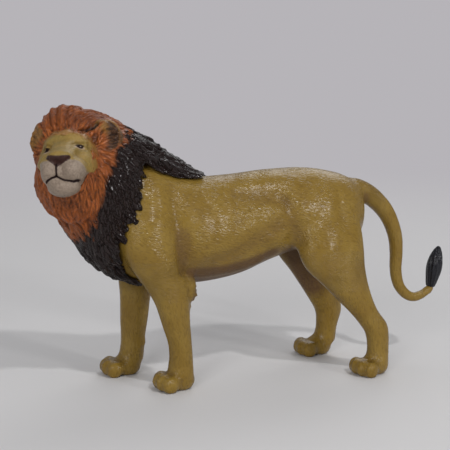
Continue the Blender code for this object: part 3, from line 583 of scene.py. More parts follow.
# The tail tuft: a pointed brush of hair in glossy bluish black plastic, moulded over the end of the tail.
TUFT_GRAIN = 0.2
TUFT_ROUNDS = 20
SNUG_FILL = 0.02
# two levels between which its axis runs, as shares of its height, and how thick a slice each takes in
TUFT_ENDS = (0.1, 0.85)
TUFT_SLICE = 0.08
# grooves between its locks, and finer ones: how many, turn from foot to tip, height in mm
GROOVES = (9, 4.5, 0.16)
FINE_GROOVES = (27, 6.5, 0.05)
GROOVE_WAVER = 1.2
TUFT_COLOUR = (0.006, 0.006, 0.009)
TUFT_LIGHT = (0.018, 0.018, 0.024)
TUFT_SHADE = (0.008, 0.008, 0.010)
tuft_mesh = cast_from(cad_meshes("tail_tuft"), SNUG_FILL, TUFT_GRAIN)
tuft_links = links_of(tuft_mesh)
tuft_points = smoothed(points_of(tuft_mesh), tuft_links, TUFT_ROUNDS)
set_points(tuft_mesh, tuft_points)
tuft_low, tuft_high = tuft_points.min(axis=0), tuft_points.max(axis=0)
tuft_rise = (tuft_points[:, 2] - tuft_low[2]) / (tuft_high[2] - tuft_low[2])
slices = [np.abs(tuft_rise - level) < TUFT_SLICE for level in TUFT_ENDS]
foot, tip = (tuft_points[inside].mean(axis=0) for inside in slices)
tuft_axis = (tip - foot) / np.linalg.norm(tip - foot)
out = tuft_points - foot - ((tuft_points - foot) @ tuft_axis)[:, None] * tuft_axis
around = np.arctan2(out[:, 1], out[:, 0])
groove_count, groove_turn, groove_height = GROOVES
fine_count, fine_turn, fine_height = FINE_GROOVES
groove = np.cos(groove_count * around + groove_turn * tuft_rise + GROOVE_WAVER * np.sin(3 * around))
fine = np.cos(fine_count * around + fine_turn * tuft_rise)
tuft_points += normals_of(tuft_mesh) * (groove_height * groove + fine_height * fine)[:, None]
set_points(tuft_mesh, tuft_points)
set_tone(tuft_mesh, "hollow", hollowness(tuft_mesh, tuft_links, rounds=5, depth=0.05))
tuft = Paint("tuft_paint", roughness=0.24, specular=0.32)
tuft_place = tuft.vector('MULTIPLY', tuft.vector('SCALE', tuft.place, scale=1 / MM), (1, 1, 0.2))
strands = tuft.noise(tuft_place, scale=3.0)
tuft_colour = tuft.mix(tuft.spread(strands, 0.4, 0.7), TUFT_COLOUR, TUFT_LIGHT)
# painted shade in the grooves between the tuft's locks
tuft_colour = tuft.mix(tuft.tone("hollow"), tuft_colour, TUFT_SHADE)
tuft_mesh.materials.append(tuft.finish(tuft_colour, tuft.relief(strands, distance=0.15)))
tuft_mesh.shade_smooth()
tail_tuft = bare_object("tuft", tuft_mesh)
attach(tail_tuft, "root")
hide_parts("tail_tuft")


# The mane: one moulding in satin plastic, a ruff round the face, a bib, two cheeks that hang down the neck
# and a cape along the withers, all worked in overlapping locks and plugged over the neck. It is orange round
# the face and brownish black behind.
HEAD_PLACE = np.array((-64.4, -4.79, 72.99))
HEAD_TURN = -115
HEAD_PITCH = -20
HEAD_LEAN = 5
HEAD_AXES = np.array((
    Matrix.Rotation(math.radians(HEAD_TURN), 3, 'Z')
    @ Matrix.Rotation(math.radians(HEAD_PITCH), 3, 'Y')
    @ Matrix.Rotation(math.radians(HEAD_LEAN), 3, 'X')
))
MANE_GRAIN = 0.36
MANE_ROUNDS = 14
EARS = (
    # middle in the head's frame, side, darkness of the hair inside: its own colour and painted shade
    ((-0.44, 11.44, 11.0), 1, 1.0),
    ((-0.88, -9.24, 10.34), -1, 0.15),
)
EAR_TURN = 25
EAR_RADII = (2.42, 4.84, 5.94)
EAR_CUP_MIDDLE = (2.64, 0, -0.22)
EAR_CUP_RADII = (2.86, 3.63, 4.62)
# the edge of the face in the head's frame, in mm: left, up
FACE_EDGE = np.array((
    (8.1, 2.5), (8.1, 4.3), (7.7, 5.9), (6.8, 7.4), (5.6, 8.7), (4.3, 9.4), (2.2, 10.0), (0.0, 10.2),
    (-2.4, 10.0), (-4.7, 9.7), (-6.6, 9.0), (-8.1, 7.9), (-9.2, 6.2), (-9.4, 3.2), (-9.2, 0.1), (-9.2, -2.0),
    (-8.6, -4.4), (-7.0, -6.8), (-5.1, -8.3), (-3.7, -9.4), (-1.6, -10.1), (0.6, -10.1), (2.8, -9.7),
    (4.4, -8.9), (5.5, -7.4), (7.4, -5.8), (8.6, -4.0), (8.7, -1.8), (8.5, 0.2),
))
FACE_MIDDLE = np.array((-0.2, -0.5))
HAIR_SEED = 7
FRINGE_COUNT = 84
# each lock of the fringe from root to tip, in mm: reach past the edge of the face, droop, radius
FRINGE_STEPS = (
    (-0.7, 0, 0.28), (0.2, 0, 0.42), (0.8, 0.1, 0.55), (1.6, 0.8, 0.75), (2.6, 2.0, 0.85), (3.8, 3.4, 0.75),
    (5.2, 4.8, 0.35),
)
# under the jaw a lock starts on its wall instead: which step, depth behind the face, how proud it stands
JAW_STEPS = ((0, 10.2, -0.3), (1, 8.8, 0.2))
# the rear edge of the mane's cheeks in side view, in mm: along, up
CHEEK_EDGE = (
    (-41.7, 72.4), (-43.3, 67.5), (-43.7, 61.8), (-46.5, 57.9), (-49.3, 52.5), (-50.0, 47.6), (-48.2, 42.6),
)
CHEEK_TIP_PITCH = 3.6
CHEEK_TIP_WAY = np.array((0.70, -0.71))
# each tip along that edge: reach past it, radius, how deep it lies as a share of its radius; then its end
CHEEK_STEPS = ((-4.5, 0.9, 0.7), (-2.6, 1.4, 0.6), (-0.4, 1.30, 0.2))
CHEEK_END = (0.60, -0.1)
# locks that close the hollow under the right cheek: out, left, up in the head's frame, then radius
JAW_LOCKS = (
    (
        (8.0, -8.0, -1.8, 0.9), (6.4, -7.9, -3.0, 1.3), (5.0, -7.8, -4.6, 1.3), (4.4, -7.6, -6.4, 1.0),
        (3.9, -7.6, -8.2, 0.5),
    ),
    ((7.0, -8.9, -0.9, 0.8), (5.6, -9.2, -2.4, 1.1), (4.6, -9.3, -4.2, 1.0), (3.6, -9.2, -6.2, 0.5)),
    (
        (8.6, -6.9, -3.2, 0.6), (6.6, -6.9, -4.6, 1.1), (5.2, -6.8, -6.2, 1.2), (4.6, -6.6, -8.0, 0.9),
        (4.0, -6.6, -9.6, 0.4),
    ),
)
# hair in the cup of an ear, from its front edge back: out, across and up in the ear's frame, then radius
EAR_STEPS = ((1.9, -3.9, 0.0, 0.55), (1.7, -1.6, 0.3, 0.95), (1.2, 0.6, 0.9, 0.85), (0.9, 2.2, 1.5, 0.30))
# how far the hair lies from a moulding that it touches, at the most
TOUCH_REACH = 1.6
# folds of hair beside the left ear and on the crown, in the head's frame, in mm: left, up; then width and
# height
MANE_FOLDS = (
    (((4.6, 11.8), (8.4, 14.4)), 0.75, -1.5),
    (((9.6, 9.6), (10.6, 11.6)), 0.50, -0.8),
    (((-0.6, 12.5), (-0.4, 21.5)), 0.45, -0.55),
    (((3.2, 13.0), (4.8, 18.5)), 0.45, -0.45),
    (((-3.4, 14.5), (-4.2, 21.0)), 0.50, -0.60),
    (((-5.0, 12.4), (-6.6, 19.5)), 0.50, -0.65),
    (((-8.0, 12.5), (-9.8, 17.5)), 0.55, -0.65),
    (((-1.8, 14.5), (-2.2, 21.5)), 0.80, 0.50),
    (((-4.8, 14.5), (-5.6, 20.5)), 0.70, 0.45),
    (((-6.8, 13.5), (-8.4, 18.5)), 0.70, 0.45),
)
LOCK_STEPS = 8
LOCK_SEEDS = 22000
# main and fine locks, in mm, near the face and far from it: spacing, length, width, height; then sway, height
# of the root as a share of the tip's, and how flat the crown is
LOCK_LAYERS = (
    ((2.1, 3.0), (8.5, 11.0), (1.4, 1.8), (0.80, 1.20), 0.55, 0.15, 0.8),
    ((1.30, 1.75), (5.5, 8.0), (0.60, 0.88), (0.46, 0.72), 0.45, 0.20, 0.7),
)
SKIN_LEVEL = 0.85
LOCK_TINTS = 97
UNDER_CHIN = ((-2.0, -12.5), (3.0, -13.0))
# where the orange hair ends, in mm: height, place along the lion
DARK_EDGE = (
    (40, -61.5), (51, -59.8), (56, -60.0), (61, -59.6), (66.4, -57.7), (71.5, -55.6), (75.4, -53.8),
    (79.2, -51.0), (82.7, -47.7), (93, -42.0),
)


def fade(values, low, high):
    """0 up to the low value, 1 from the high value on, with an easy slope between them."""
    share = np.clip((values - low) / (high - low), 0, 1)
    return share * share * (3 - 2 * share)


def unit(vectors):
    return vectors / np.maximum(np.linalg.norm(vectors, axis=-1, keepdims=True), 1e-9)


def in_head(points):
    """Points in the head's frame: out of the face, to the lion's left, up to the crown."""
    return (points - HEAD_PLACE) @ HEAD_AXES


def drawn_in(points):
    """Points of the face with its jaw and chin drawn in and its right temple a little fuller."""
    local = in_head(points)
    front, left, up = local.T
    near_front = fade(front, 2, 6)
    # left jaw, right jaw, right temple, chin
    left = left - 0.32 * np.clip(left - 4.4, 0, None) * fade(-up, 3, 7) * near_front
    left = left + 0.35 * np.clip(-4.6 - left, 0, None) * fade(-up, 0.5, 3) * near_front
    left = left - 0.35 * np.clip(-6.0 - left, 0, None) * fade(up, -1.5, 1) * fade(-up, -9, -6.5)
    up = up + 0.20 * np.clip(16.0 - front, 0, 10) * fade(-up, 2, 6) * near_front
    return HEAD_PLACE + np.stack((front, left, up), axis=1) @ HEAD_AXES.T


def hair_way(points, normals):
    """The way in which the mane's hair lies: out from the face, then down and back."""
    local = in_head(points)
    radial = unit(local * (0, 1, 1)) @ HEAD_AXES.T
    drop = 1 - fade(local[:, 2], 0, 11)
    face_way = radial - HEAD_AXES[:, 0] * 0.35 + np.outer(drop, (0, 0, -1.5))
    chest = fade(-points[:, 0], 50, 58)[:, None]
    side_way = (1 - chest) * (0.50, 0, -0.80) + chest * (0.10, 0, -1.0)
    body_way = side_way + np.clip(normals[:, 2:], 0, 1) * (0.9, 0, 0.5)
    near = (1 - fade(np.linalg.norm(local, axis=1), 14, 23))[:, None]
    way = near * unit(face_way) + (1 - near) * unit(body_way)
    return unit(way - (way * normals).sum(axis=1)[:, None] * normals)


def spaced_out(points, spacing, chance):
    """Which points stay when they are taken in a random order and none may crowd another."""
    size = spacing.max()
    cells, kept = {}, []
    for index in chance.permutation(len(points)):
        point = points[index]
        column, row, level = (int(value // size) for value in point)
        near = [
            other
            for i in (-1, 0, 1) for j in (-1, 0, 1) for k in (-1, 0, 1)
            for other in cells.get((column + i, row + j, level + k), ())
        ]
        if not near or ((np.array(near) - point) ** 2).sum(axis=1).min() > spacing[index] ** 2:
            cells.setdefault((column, row, level), []).append(point)
            kept.append(index)
    return np.array(kept)


def grown_locks(skin, roots, outs, lengths, swings, phases):
    """Lines of hair that follow its lie over the skin from their roots, swaying as they go."""
    place, out = roots.copy(), outs.copy()
    lines, line_outs = [place.copy()], [out.copy()]
    for step in range(LOCK_STEPS):
        way = hair_way(place, out)
        angle = (swings * np.cos(phases + 5.5 * step / LOCK_STEPS))[:, None]
        way = way * np.cos(angle) + np.cross(out, way) * np.sin(angle)
        place = place + way * lengths[:, None] / LOCK_STEPS
        for index, point in enumerate(place):
            found, turned, _, _ = skin.find_nearest(Vector(point) * MM)
            place[index] = np.array(found) / MM
            out[index] = turned
        lines.append(place.copy())
        line_outs.append(out.copy())
    return np.stack(lines, axis=1), np.stack(line_outs, axis=1)


def laid_locks(points, normals, finder, lines, line_outs, widths, heights, root_level, crown):
    """The height of the locks over each point, and where on its lock each point lies."""
    raised, along_at, across_at = (np.zeros(len(points)) for _ in range(3))
    number_at = np.zeros(len(points), dtype=int)
    for lock, (line, out) in enumerate(zip(lines, line_outs)):
        middle = (line[0] + line[-1]) / 2
        reach = np.linalg.norm(line - middle, axis=1).max() + widths[lock]
        near = np.array([entry[1] for entry in finder.find_range(middle, reach)])
        runs = np.diff(line, axis=0)
        offset = points[near][:, None] - line[:-1]
        share = np.clip((offset * runs).sum(axis=2) / np.maximum((runs * runs).sum(axis=1), 1e-9), 0, 1)
        offset -= share[:, :, None] * runs
        distance = np.linalg.norm(offset, axis=2)
        piece = distance.argmin(axis=1)
        rows = np.arange(len(near))
        along = (piece + share[rows, piece]) / LOCK_STEPS
        side = np.sign((offset[rows, piece] * np.cross(out[:-1], runs)[piece]).sum(axis=1))
        across = distance[rows, piece]
        width = widths[lock] * np.minimum(1, 0.55 + 2 * along) * np.clip((1 - along) / 0.55, 0, 1) ** 0.7
        level = np.clip(1 - (across / np.maximum(width, 1e-6)) ** 2, 0, 1) ** crown
        level *= heights[lock] * (root_level + (1 - root_level) * along)
        facing = (normals[near] * out[piece]).sum(axis=1) > 0.2
        better = facing & (level > raised[near])
        chosen = near[better]
        raised[chosen] = level[better]
        along_at[chosen] = along[better] * np.linalg.norm(runs, axis=1).sum()
        across_at[chosen] = (across * side)[better]
        number_at[chosen] = lock
    return raised, along_at, across_at, number_at


edge_from_middle = FACE_EDGE - FACE_MIDDLE
edge_angles = np.arctan2(edge_from_middle[:, 1], edge_from_middle[:, 0])
edge_reaches = np.hypot(edge_from_middle[:, 0], edge_from_middle[:, 1])


def face_reach(angles):
    """How far the edge of the face is from its middle, at each angle."""
    return np.interp(angles, edge_angles, edge_reaches, period=2 * np.pi)


def past_face_edge(places):
    """How far each place, as left and up in the head's frame, lies outside the edge of the face."""
    from_middle = places - FACE_MIDDLE
    reach = np.hypot(from_middle[:, 0], from_middle[:, 1])
    return reach - face_reach(np.arctan2(from_middle[:, 1], from_middle[:, 0]))


def ear_axes(side):
    return np.array(Matrix.Rotation(math.radians(EAR_TURN * side), 3, 'Z'))


def struck(skin, start, way, reach):
    """Where a ray from a place meets a skin, in mm, and which way the skin faces there, or None."""
    place, facing, _, _ = skin.ray_cast(Vector(start) * MM, Vector(way), reach * MM)
    return None if place is None else (np.array(place) / MM, np.array(facing))


# the fringe lies over the edge of the face
chance = np.random.default_rng(HAIR_SEED)
head = bmesh.new()
head.from_mesh(FIGURE_NODES["face"].data)
for vert, place in zip(head.verts, drawn_in(points_of(FIGURE_NODES["face"].data))):
    vert.co = place * MM
head.from_mesh(FIGURE_NODES["mane"].data)
head_skin = BVHTree.FromBMesh(head)
head.free()
ruff_skin = skin_of(cad_meshes("mane"))
lock_paths = []
for lock in range(FRINGE_COUNT):
    angle = 2 * math.pi * (lock + chance.uniform(-0.25, 0.25)) / FRINGE_COUNT
    stretch = chance.uniform(0.75, 1.40) * (1.5 if math.sin(angle) > 0.5 else 1.0)
    under_jaw = math.sin(angle) < -0.25
    path = []
    for out, droop, radius in FRINGE_STEPS:
        reach = face_reach(angle) + out * stretch
        across, up = reach * math.cos(angle), reach * math.sin(angle) - droop * math.cos(angle) ** 2
        left, up = FACE_MIDDLE + (across, up)
        start = HEAD_PLACE + HEAD_AXES @ (40, left, up)
        hit = struck(ruff_skin if under_jaw else head_skin, start, -HEAD_AXES[:, 0], 60)
        if hit:
            path.append((hit[0] - hit[1] * 0.5 * radius, radius))
    if under_jaw and len(path) > 3:
        # under the jaw the hair springs from its wall and falls over the ruff
        outward = HEAD_AXES @ (0, math.cos(angle), math.sin(angle))
        for step, depth, proud in JAW_STEPS:
            start = HEAD_PLACE + HEAD_AXES @ (depth, *FACE_MIDDLE) + outward * 25
            hit = struck(head_skin, start, -outward, 25)
            if hit:
                path[step] = (hit[0] + outward * proud, 0.60 + 0.2 * step)
        path[2] = ((path[1][0] + path[3][0]) / 2 + HEAD_AXES[:, 0] * 0.4, 0.90)
    if len(path) > 3:
        lock_paths.append(path)

# tips of hair stand out along the cheeks' rear edges
flank_nodes = ("mane", "torso_left_half", "torso_right_half", "foreleg_left", "foreleg_right")
flank_skin = skin_of(cad_meshes(*flank_nodes))
cheek_edge = np.array(CHEEK_EDGE)
cheek_runs = np.concatenate(((0,), np.cumsum(np.hypot(*np.diff(cheek_edge, axis=0).T))))
for side in (-1, 1):
    for run in np.arange(0.5, cheek_runs[-1], CHEEK_TIP_PITCH):
        run += chance.uniform(-0.4, 0.4)
        edge = np.array([np.interp(run, cheek_runs, cheek_edge[:, axis]) for axis in (0, 1)])
        tip_reach = chance.uniform(1.0, 2.0)
        path = []
        for back, radius, sink in (*CHEEK_STEPS, (tip_reach, *CHEEK_END)):
            along, up = edge + back * CHEEK_TIP_WAY
            hit = struck(flank_skin, (along, side * 60, up), (0, -side, 0), 90)
            if hit:
                path.append((hit[0] - hit[1] * sink * radius, radius))
        if len(path) > len(CHEEK_STEPS):
            lock_paths.append(path)

# hair closes the hollow under the right cheek and fills the cups of the ears
for lock in JAW_LOCKS:
    lock_paths.append([(HEAD_PLACE + HEAD_AXES @ place, radius) for *place, radius in lock])
for middle, side, _ in EARS:
    for row in np.linspace(-3.6, 3.6, 9):
        path = []
        for out, across, up, radius in EAR_STEPS:
            narrow = 1 - 0.12 * max(across, 0)
            local = np.array(middle) + ear_axes(side) @ (out, across * side, (row * narrow) + up * 0.5)
            path.append((HEAD_PLACE + HEAD_AXES @ local, radius * chance.uniform(0.85, 1.1)))
        lock_paths.append(path)
mane_mesh = cast_from([hair_tubes(lock_paths), *cad_meshes("mane")], SNUG_FILL, MANE_GRAIN)
mane_links = links_of(mane_mesh)
mane_points = smoothed(points_of(mane_mesh), mane_links, MANE_ROUNDS)
set_points(mane_mesh, mane_points)
mane_normals = unit(relaxed(normals_of(mane_mesh), mane_links, rounds=6))
mane_local = in_head(mane_points)
head_distance = np.linalg.norm(mane_local, axis=1)

# where the mane touches other mouldings it stays plain
neighbours = skin_of(cad_meshes("face", "torso_left_half", "torso_right_half"))
hidden = np.zeros(len(mane_points))
for index, (point, normal) in enumerate(zip(mane_points, mane_normals)):
    hidden[index] = struck(neighbours, point, normal, TOUCH_REACH) is not None
open_share = np.clip(1 - 1.5 * relaxed(hidden, mane_links, rounds=3), 0, 1)

ear_share = np.zeros(len(mane_points))
ear_hole = np.zeros(len(mane_points))
ear_shade = np.zeros(len(mane_points))
for middle, side, depth in EARS:
    in_ear = (mane_local - middle) @ ear_axes(side)
    rim = 1 - fade(np.linalg.norm(in_ear / EAR_RADII * (0.75, 1, 1), axis=1), 1.0, 1.12)
    ear_share = np.maximum(ear_share, rim * fade(in_ear[:, 2] + 0.6 * side * in_ear[:, 1], -2.0, 1.0))
    in_cup = np.linalg.norm((in_ear - EAR_CUP_MIDDLE) / EAR_CUP_RADII, axis=1)
    cup = 1 - fade(in_cup, 1.02, 1.14)
    # the cup's hair is painted darker, partly its own colour and partly painted shade
    ear_hole = np.maximum(ear_hole, depth * cup * fade(in_ear[:, 1] * side, -1.8, 0.8))
    # a painted shadow under the outer side of the rim
    outer = 1 - fade(in_ear[:, 2] - 0.5 * side * in_ear[:, 1], -1.5, 1.0)
    ear_shade = np.maximum(ear_shade, 0.8 * depth * rim * outer)

# the locks: each grows from a root along the lie of the hair, and its tip stands over the roots of the next
mane_skin = skin_of([mane_mesh])
finder = KDTree(len(mane_points))
for index, point in enumerate(mane_points):
    finder.insert(point, index)
finder.balance()
far = fade(head_distance, 14, 26)
hairy = np.flatnonzero((open_share > 0.5) & (ear_share * (1 - ear_hole) < 0.5))
layers = []
for spacing, length, width, height, sway, root_level, crown in LOCK_LAYERS:
    seeds = chance.choice(hairy, LOCK_SEEDS, replace=False)
    roots = seeds[spaced_out(mane_points[seeds], np.interp(far, (0, 1), spacing)[seeds], chance)]
    count = len(roots)
    lines, line_outs = grown_locks(
        mane_skin, mane_points[roots], mane_normals[roots],
        np.interp(far[roots], (0, 1), length) * chance.uniform(0.75, 1.25, count),
        chance.uniform(0.1, sway, count) * chance.choice((-1, 1), count), chance.uniform(0, 6.28, count))
    layers.append(laid_locks(
        mane_points, mane_normals, finder, lines, line_outs,
        np.interp(far[roots], (0, 1), width) * chance.uniform(0.8, 1.2, count),
        np.interp(far[roots], (0, 1), height) * chance.uniform(0.7, 1.3, count), root_level, crown))
(raised, _, _, lock_number), (fine, strand_along, strand_across, strand_number) = layers
lock_tint = chance.uniform(-1, 1, LOCK_TINTS)[lock_number % LOCK_TINTS]
mane_lift = (raised + fine - SKIN_LEVEL) * open_share * (1 - 0.65 * ear_share * (1 - ear_hole))
fold = np.zeros(len(mane_points))
for path, width, height in MANE_FOLDS:
    mark = stroke_weight(mane_local[:, 1:], path, width) * fade(mane_local[:, 0], -12, -8)
    mane_lift += height * mark * open_share
    fold = np.maximum(fold, mark * fade(-height, 0.7, 1.3))
mane_points = mane_points + mane_normals * relaxed(mane_lift, mane_links, rounds=1)[:, None]
set_points(mane_mesh, mane_points)

dark_line = np.interp(mane_points[:, 2], *np.array(DARK_EDGE).T) + 1.5 * lock_tint
on_ridge = np.exp(-((mane_points[:, 1] - 1.0) / 4.5) ** 2) * fade(mane_points[:, 2], 76, 81)
dark_line += on_ridge * (4.5 + 2.5 * lock_tint)
past_line = 0.96 * mane_points[:, 0] + 0.28 * mane_points[:, 1] - dark_line
set_tone(mane_mesh, "dark", fade(past_line, -1.4, 1.4))
set_tone(mane_mesh, "strand_along", strand_along)
set_tone(mane_mesh, "strand_across", strand_across)
set_tone(mane_mesh, "strand_number", strand_number % LOCK_TINTS)
set_tone(mane_mesh, "lock_tint", lock_tint)
under_chin = 0.3 * stroke_weight(mane_local[:, 1:], UNDER_CHIN, width=2.6)
set_tone(mane_mesh, "shade", np.maximum(fold, under_chin))
# the top of the crown is painted darker: partly its darker hair tips, partly painted shade against the light
# from above
crown = fade(mane_local[:, 2], 11, 19) * fade(mane_local[:, 0], -12, -6)
set_tone(mane_mesh, "crown", 0.35 * crown)
# the beard below the face is painted lighter: painted light where it faces down, away from the lamps
set_tone(mane_mesh, "beard_painted_light", 0.55 * fade(-mane_local[:, 2], 10, 17) * fade(mane_local[:, 0], -8, -2))
set_tone(mane_mesh, "ear", ear_share)
set_tone(mane_mesh, "ear_hole", np.maximum(ear_hole, ear_shade * ear_share))
from_edge = past_face_edge(mane_local[:, 1:])
hairline = (1 - fade(from_edge, -0.4, 2.2)) * fade(mane_local[:, 2], 2, 6) * fade(mane_local[:, 0], 0, 3)
set_tone(mane_mesh, "hairline", hairline)
# how deep each point lies in a crease between the locks, for the painted shade there
creases = hollowness(mane_mesh, mane_links, rounds=4, depth=0.08)
set_tone(mane_mesh, "hollow", creases * (1 - hairline) * (1 - 0.5 * crown))

ORANGE = (0.275, 0.064, 0.009)
ORANGE_LIGHT = (0.390, 0.112, 0.020)
ORANGE_DARK = (0.075, 0.015, 0.004)
MANE_BLACK = (0.0090, 0.0035, 0.0028)
MANE_BLACK_LIGHT = (0.015, 0.0065, 0.0055)
SHADE_COLOUR = (0.030, 0.010, 0.005)
CREASE_SHADE = (0.014, 0.005, 0.003)
EAR_RIM = (0.260, 0.120, 0.024)
EAR_HAIR = (0.110, 0.045, 0.014)
EAR_DARK = (0.030, 0.012, 0.005)
HAIRLINE = (0.255, 0.125, 0.030)
BEARD_PAINTED_LIGHT = (0.440, 0.100, 0.008)
# fineness, roughness and relief of the strands: in orange hair, in black hair
STRAND_FINENESS = (4.5, 2.0)
STRAND_ROUGHNESS = (0.36, 0.17)
STRAND_RELIEF = (1.0, 1.5)
mane = Paint("mane_paint", roughness=0.30, specular=0.36)
strand_place = mane.nodes.new("ShaderNodeCombineXYZ")
strand_fineness = mane.spread(mane.tone("dark"), 0, 1, *STRAND_FINENESS)
mane.join(mane.math('MULTIPLY', mane.tone("strand_across"), strand_fineness), strand_place.inputs["X"])
mane.join(mane.math('MULTIPLY', mane.tone("strand_along"), 0.30), strand_place.inputs["Y"])
mane.join(mane.math('MULTIPLY', mane.tone("strand_number"), 7.3), strand_place.inputs["Z"])
strand = mane.noise(strand_place.outputs[0], 1.0, 1.0)
tint = mane.noise(mane.vector('SCALE', mane.place, scale=0.22 / MM), 1.0, 2.0)
tint = mane.math('ADD', tint, mane.math('MULTIPLY', mane.tone("lock_tint"), 0.10))
# the strands are painted lighter on their crests and darker between them: partly their own streaks, partly
# painted highlight and shade
orange = mane.mix(mane.spread(strand, 0.35, 0.7), ORANGE, ORANGE_LIGHT)
orange = mane.mix(mane.spread(tint, 0.50, 0.75, 0.0, 0.45), orange, ORANGE_DARK)
orange = mane.mix(mane.spread(strand, 0.45, 0.25, 0.0, 0.5), orange, ORANGE_DARK)
orange = mane.mix(mane.tone("crown"), orange, ORANGE_DARK)
orange = mane.mix(mane.tone("beard_painted_light"), orange, BEARD_PAINTED_LIGHT)
black = mane.mix(mane.spread(strand, 0.4, 0.75), MANE_BLACK, MANE_BLACK_LIGHT)
mane_colour = mane.mix(mane.tone("hairline"), orange, HAIRLINE)
mane_colour = mane.mix(mane.tone("ear"), mane_colour, EAR_RIM)
# the hair in the ear cups, darkened with painted shade, and the painted shadow by the rims
ear_hair = mane.mix(mane.spread(strand, 0.35, 0.65), EAR_DARK, EAR_HAIR)
mane_colour = mane.mix(mane.tone("ear_hole"), mane_colour, ear_hair)
mane_colour = mane.mix(mane.tone("shade"), mane_colour, SHADE_COLOUR)
mane_colour = mane.mix(mane.tone("dark"), mane_colour, black)
# painted shade in the creases between the locks
mane_colour = mane.mix(mane.math('MULTIPLY', mane.tone("hollow"), 0.65), mane_colour, CREASE_SHADE)
mane_roughness = mane.spread(mane.tone("dark"), 0, 1, *STRAND_ROUGHNESS)
strand_height = mane.math('MULTIPLY', strand, mane.spread(mane.tone("dark"), 0, 1, *STRAND_RELIEF))
strand_relief = mane.relief(strand_height, distance=0.26)
mane_mesh.materials.append(mane.finish(mane_colour, strand_relief, mane_roughness))
mane_mesh.shade_smooth()
mane_hair = bare_object("mane_hair", mane_mesh)
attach(mane_hair, "root")
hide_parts("mane")


# The face: a short-haired olive moulding let into the mane, with painted muzzle, nose, mouth and eyes. The
# fringe of the mane grows over its edge, and there its skin drops by the fringe's depth.
FACE_GRAIN = 0.18
FACE_ROUNDS = 70
FRINGE_DEPTH = 1.5
# strokes in the head's frame, in mm: points as left, up; then width and height
FACE_STROKES = (
    # brows
    (((2.4, 8.0), (4.4, 7.6), (6.4, 6.6)), 1.1, 0.14),
    (((-3.4, 8.0), (-5.6, 7.6), (-7.6, 6.6)), 1.1, 0.14),
    # eye sockets, eyeballs and lower lids
    (((2.8, 4.9), (5.3, 5.6)), 1.2, -0.30),
    (((-4.7, 4.9), (-7.4, 5.5)), 1.2, -0.30),
    (((4.2, 5.3),), 0.75, 0.36),
    (((-6.3, 5.2),), 0.75, 0.36),
    (((3.0, 4.0), (4.5, 3.9), (6.0, 4.5)), 0.45, 0.18),
    (((-4.8, 4.0), (-6.4, 3.9), (-7.9, 4.4)), 0.45, 0.18),
    (((3.0, 3.0), (4.8, 2.9), (6.6, 3.7)), 0.40, 0.14),
    (((5.9, 5.6), (7.0, 6.0)), 0.35, 0.14),
    (((3.4, 6.4), (5.0, 6.7), (6.2, 6.2)), 0.40, -0.16),
    (((-5.0, 6.4), (-6.6, 6.5), (-7.8, 6.0)), 0.40, -0.16),
    # forehead furrow and hollows beside the bridge of the nose
    (((-0.5, 9.6), (-0.5, 7.0)), 1.3, -0.20),
    (((2.6, 3.6), (4.6, 0.3)), 1.1, -0.25),
    (((-3.7, 3.6), (-5.4, 0.5)), 1.1, -0.25),
    # nose leather, its nostrils
    (((-2.9, -0.3), (1.9, -0.7)), 1.0, 0.20),
    (((-3.4, -0.9),), 0.45, -0.40),
    (((2.5, -1.3),), 0.45, -0.40),
    # whisker pads and chin
    (((2.6, -4.2),), 2.6, 0.16),
    (((-4.0, -4.2),), 2.6, 0.14),
    (((-0.5, -9.6),), 2.4, 0.20),
    # groove under the nose, and the mouth
    (((-1.0, -2.6), (-1.15, -6.0)), 0.36, -0.38),
    (((-1.15, -6.05), (-4.4, -7.2)), 0.36, -0.38),
    (((-1.15, -6.05), (1.1, -7.2), (3.6, -7.6), (5.2, -7.15)), 0.36, -0.38),
)
# painted marks in the same frame: tone, points, half width, softness
FACE_MARKS = (
    ("pale", ((4.1, -4.6), (1.0, -4.4)), 3.2, 0.35),
    ("pale", ((-5.0, -4.4), (-2.5, -4.2)), 3.0, 0.35),
    ("pale", ((-2.4, -8.2), (-0.6, -9.0), (2.2, -8.2)), 3.6, 0.35),
    ("nose", ((-3.7, -0.3), (-0.3, -0.9), (2.8, -0.7)), 0.52, 0.08),
    ("nose", ((-2.9, -0.9), (2.0, -1.3)), 0.50, 0.08),
    ("nose", ((-2.1, -1.5), (0.9, -1.8)), 0.50, 0.08),
    ("nose", ((-1.4, -2.1), (-0.3, -2.3)), 0.48, 0.08),
    ("nose", ((-0.9, -2.2), (-1.0, -2.9)), 0.40, 0.08),
    ("nose", ((2.8, -0.9), (-0.6, -2.6)), 0.42, 0.08),
    ("nose", ((-3.7, -0.5), (-1.3, -2.6)), 0.42, 0.08),
    ("line", ((-1.0, -2.6), (-1.15, -6.05)), 0.26, 0.06),
    ("line", ((-1.15, -6.05), (-2.6, -6.5), (-4.6, -7.3)), 0.26, 0.06),
    ("line", ((-1.15, -6.05), (1.1, -7.1), (3.6, -7.6), (5.4, -7.1)), 0.26, 0.06),
    # painted shade round the eye sockets
    ("socket", ((2.6, 5.6), (3.6, 6.3), (5.4, 6.5)), 0.45, 0.45),
    ("socket", ((-4.4, 5.8), (-5.4, 6.4), (-7.4, 6.2)), 0.45, 0.45),
    ("rim", ((3.6, 4.45), (4.5, 4.12), (5.5, 4.65)), 0.32, 0.14),
    ("rim", ((-5.3, 4.25), (-6.2, 3.95), (-7.0, 4.15)), 0.34, 0.14),
    ("eye", ((4.4, 4.98), (4.8, 5.10)), 0.62, 0.08),
    ("line", ((3.7, 5.10), (4.2, 5.58), (4.8, 5.70), (5.5, 5.35)), 0.20, 0.10),
    # a painted highlight in the lion's left eye
    ("glint", ((4.58, 5.12), (4.74, 5.16)), 0.12, 0.07),
    ("eye", ((-5.9, 4.85), (-6.5, 4.80)), 0.58, 0.10),
    ("line", ((-5.2, 5.1), (-6.2, 5.45), (-7.2, 5.1)), 0.20, 0.10),
)

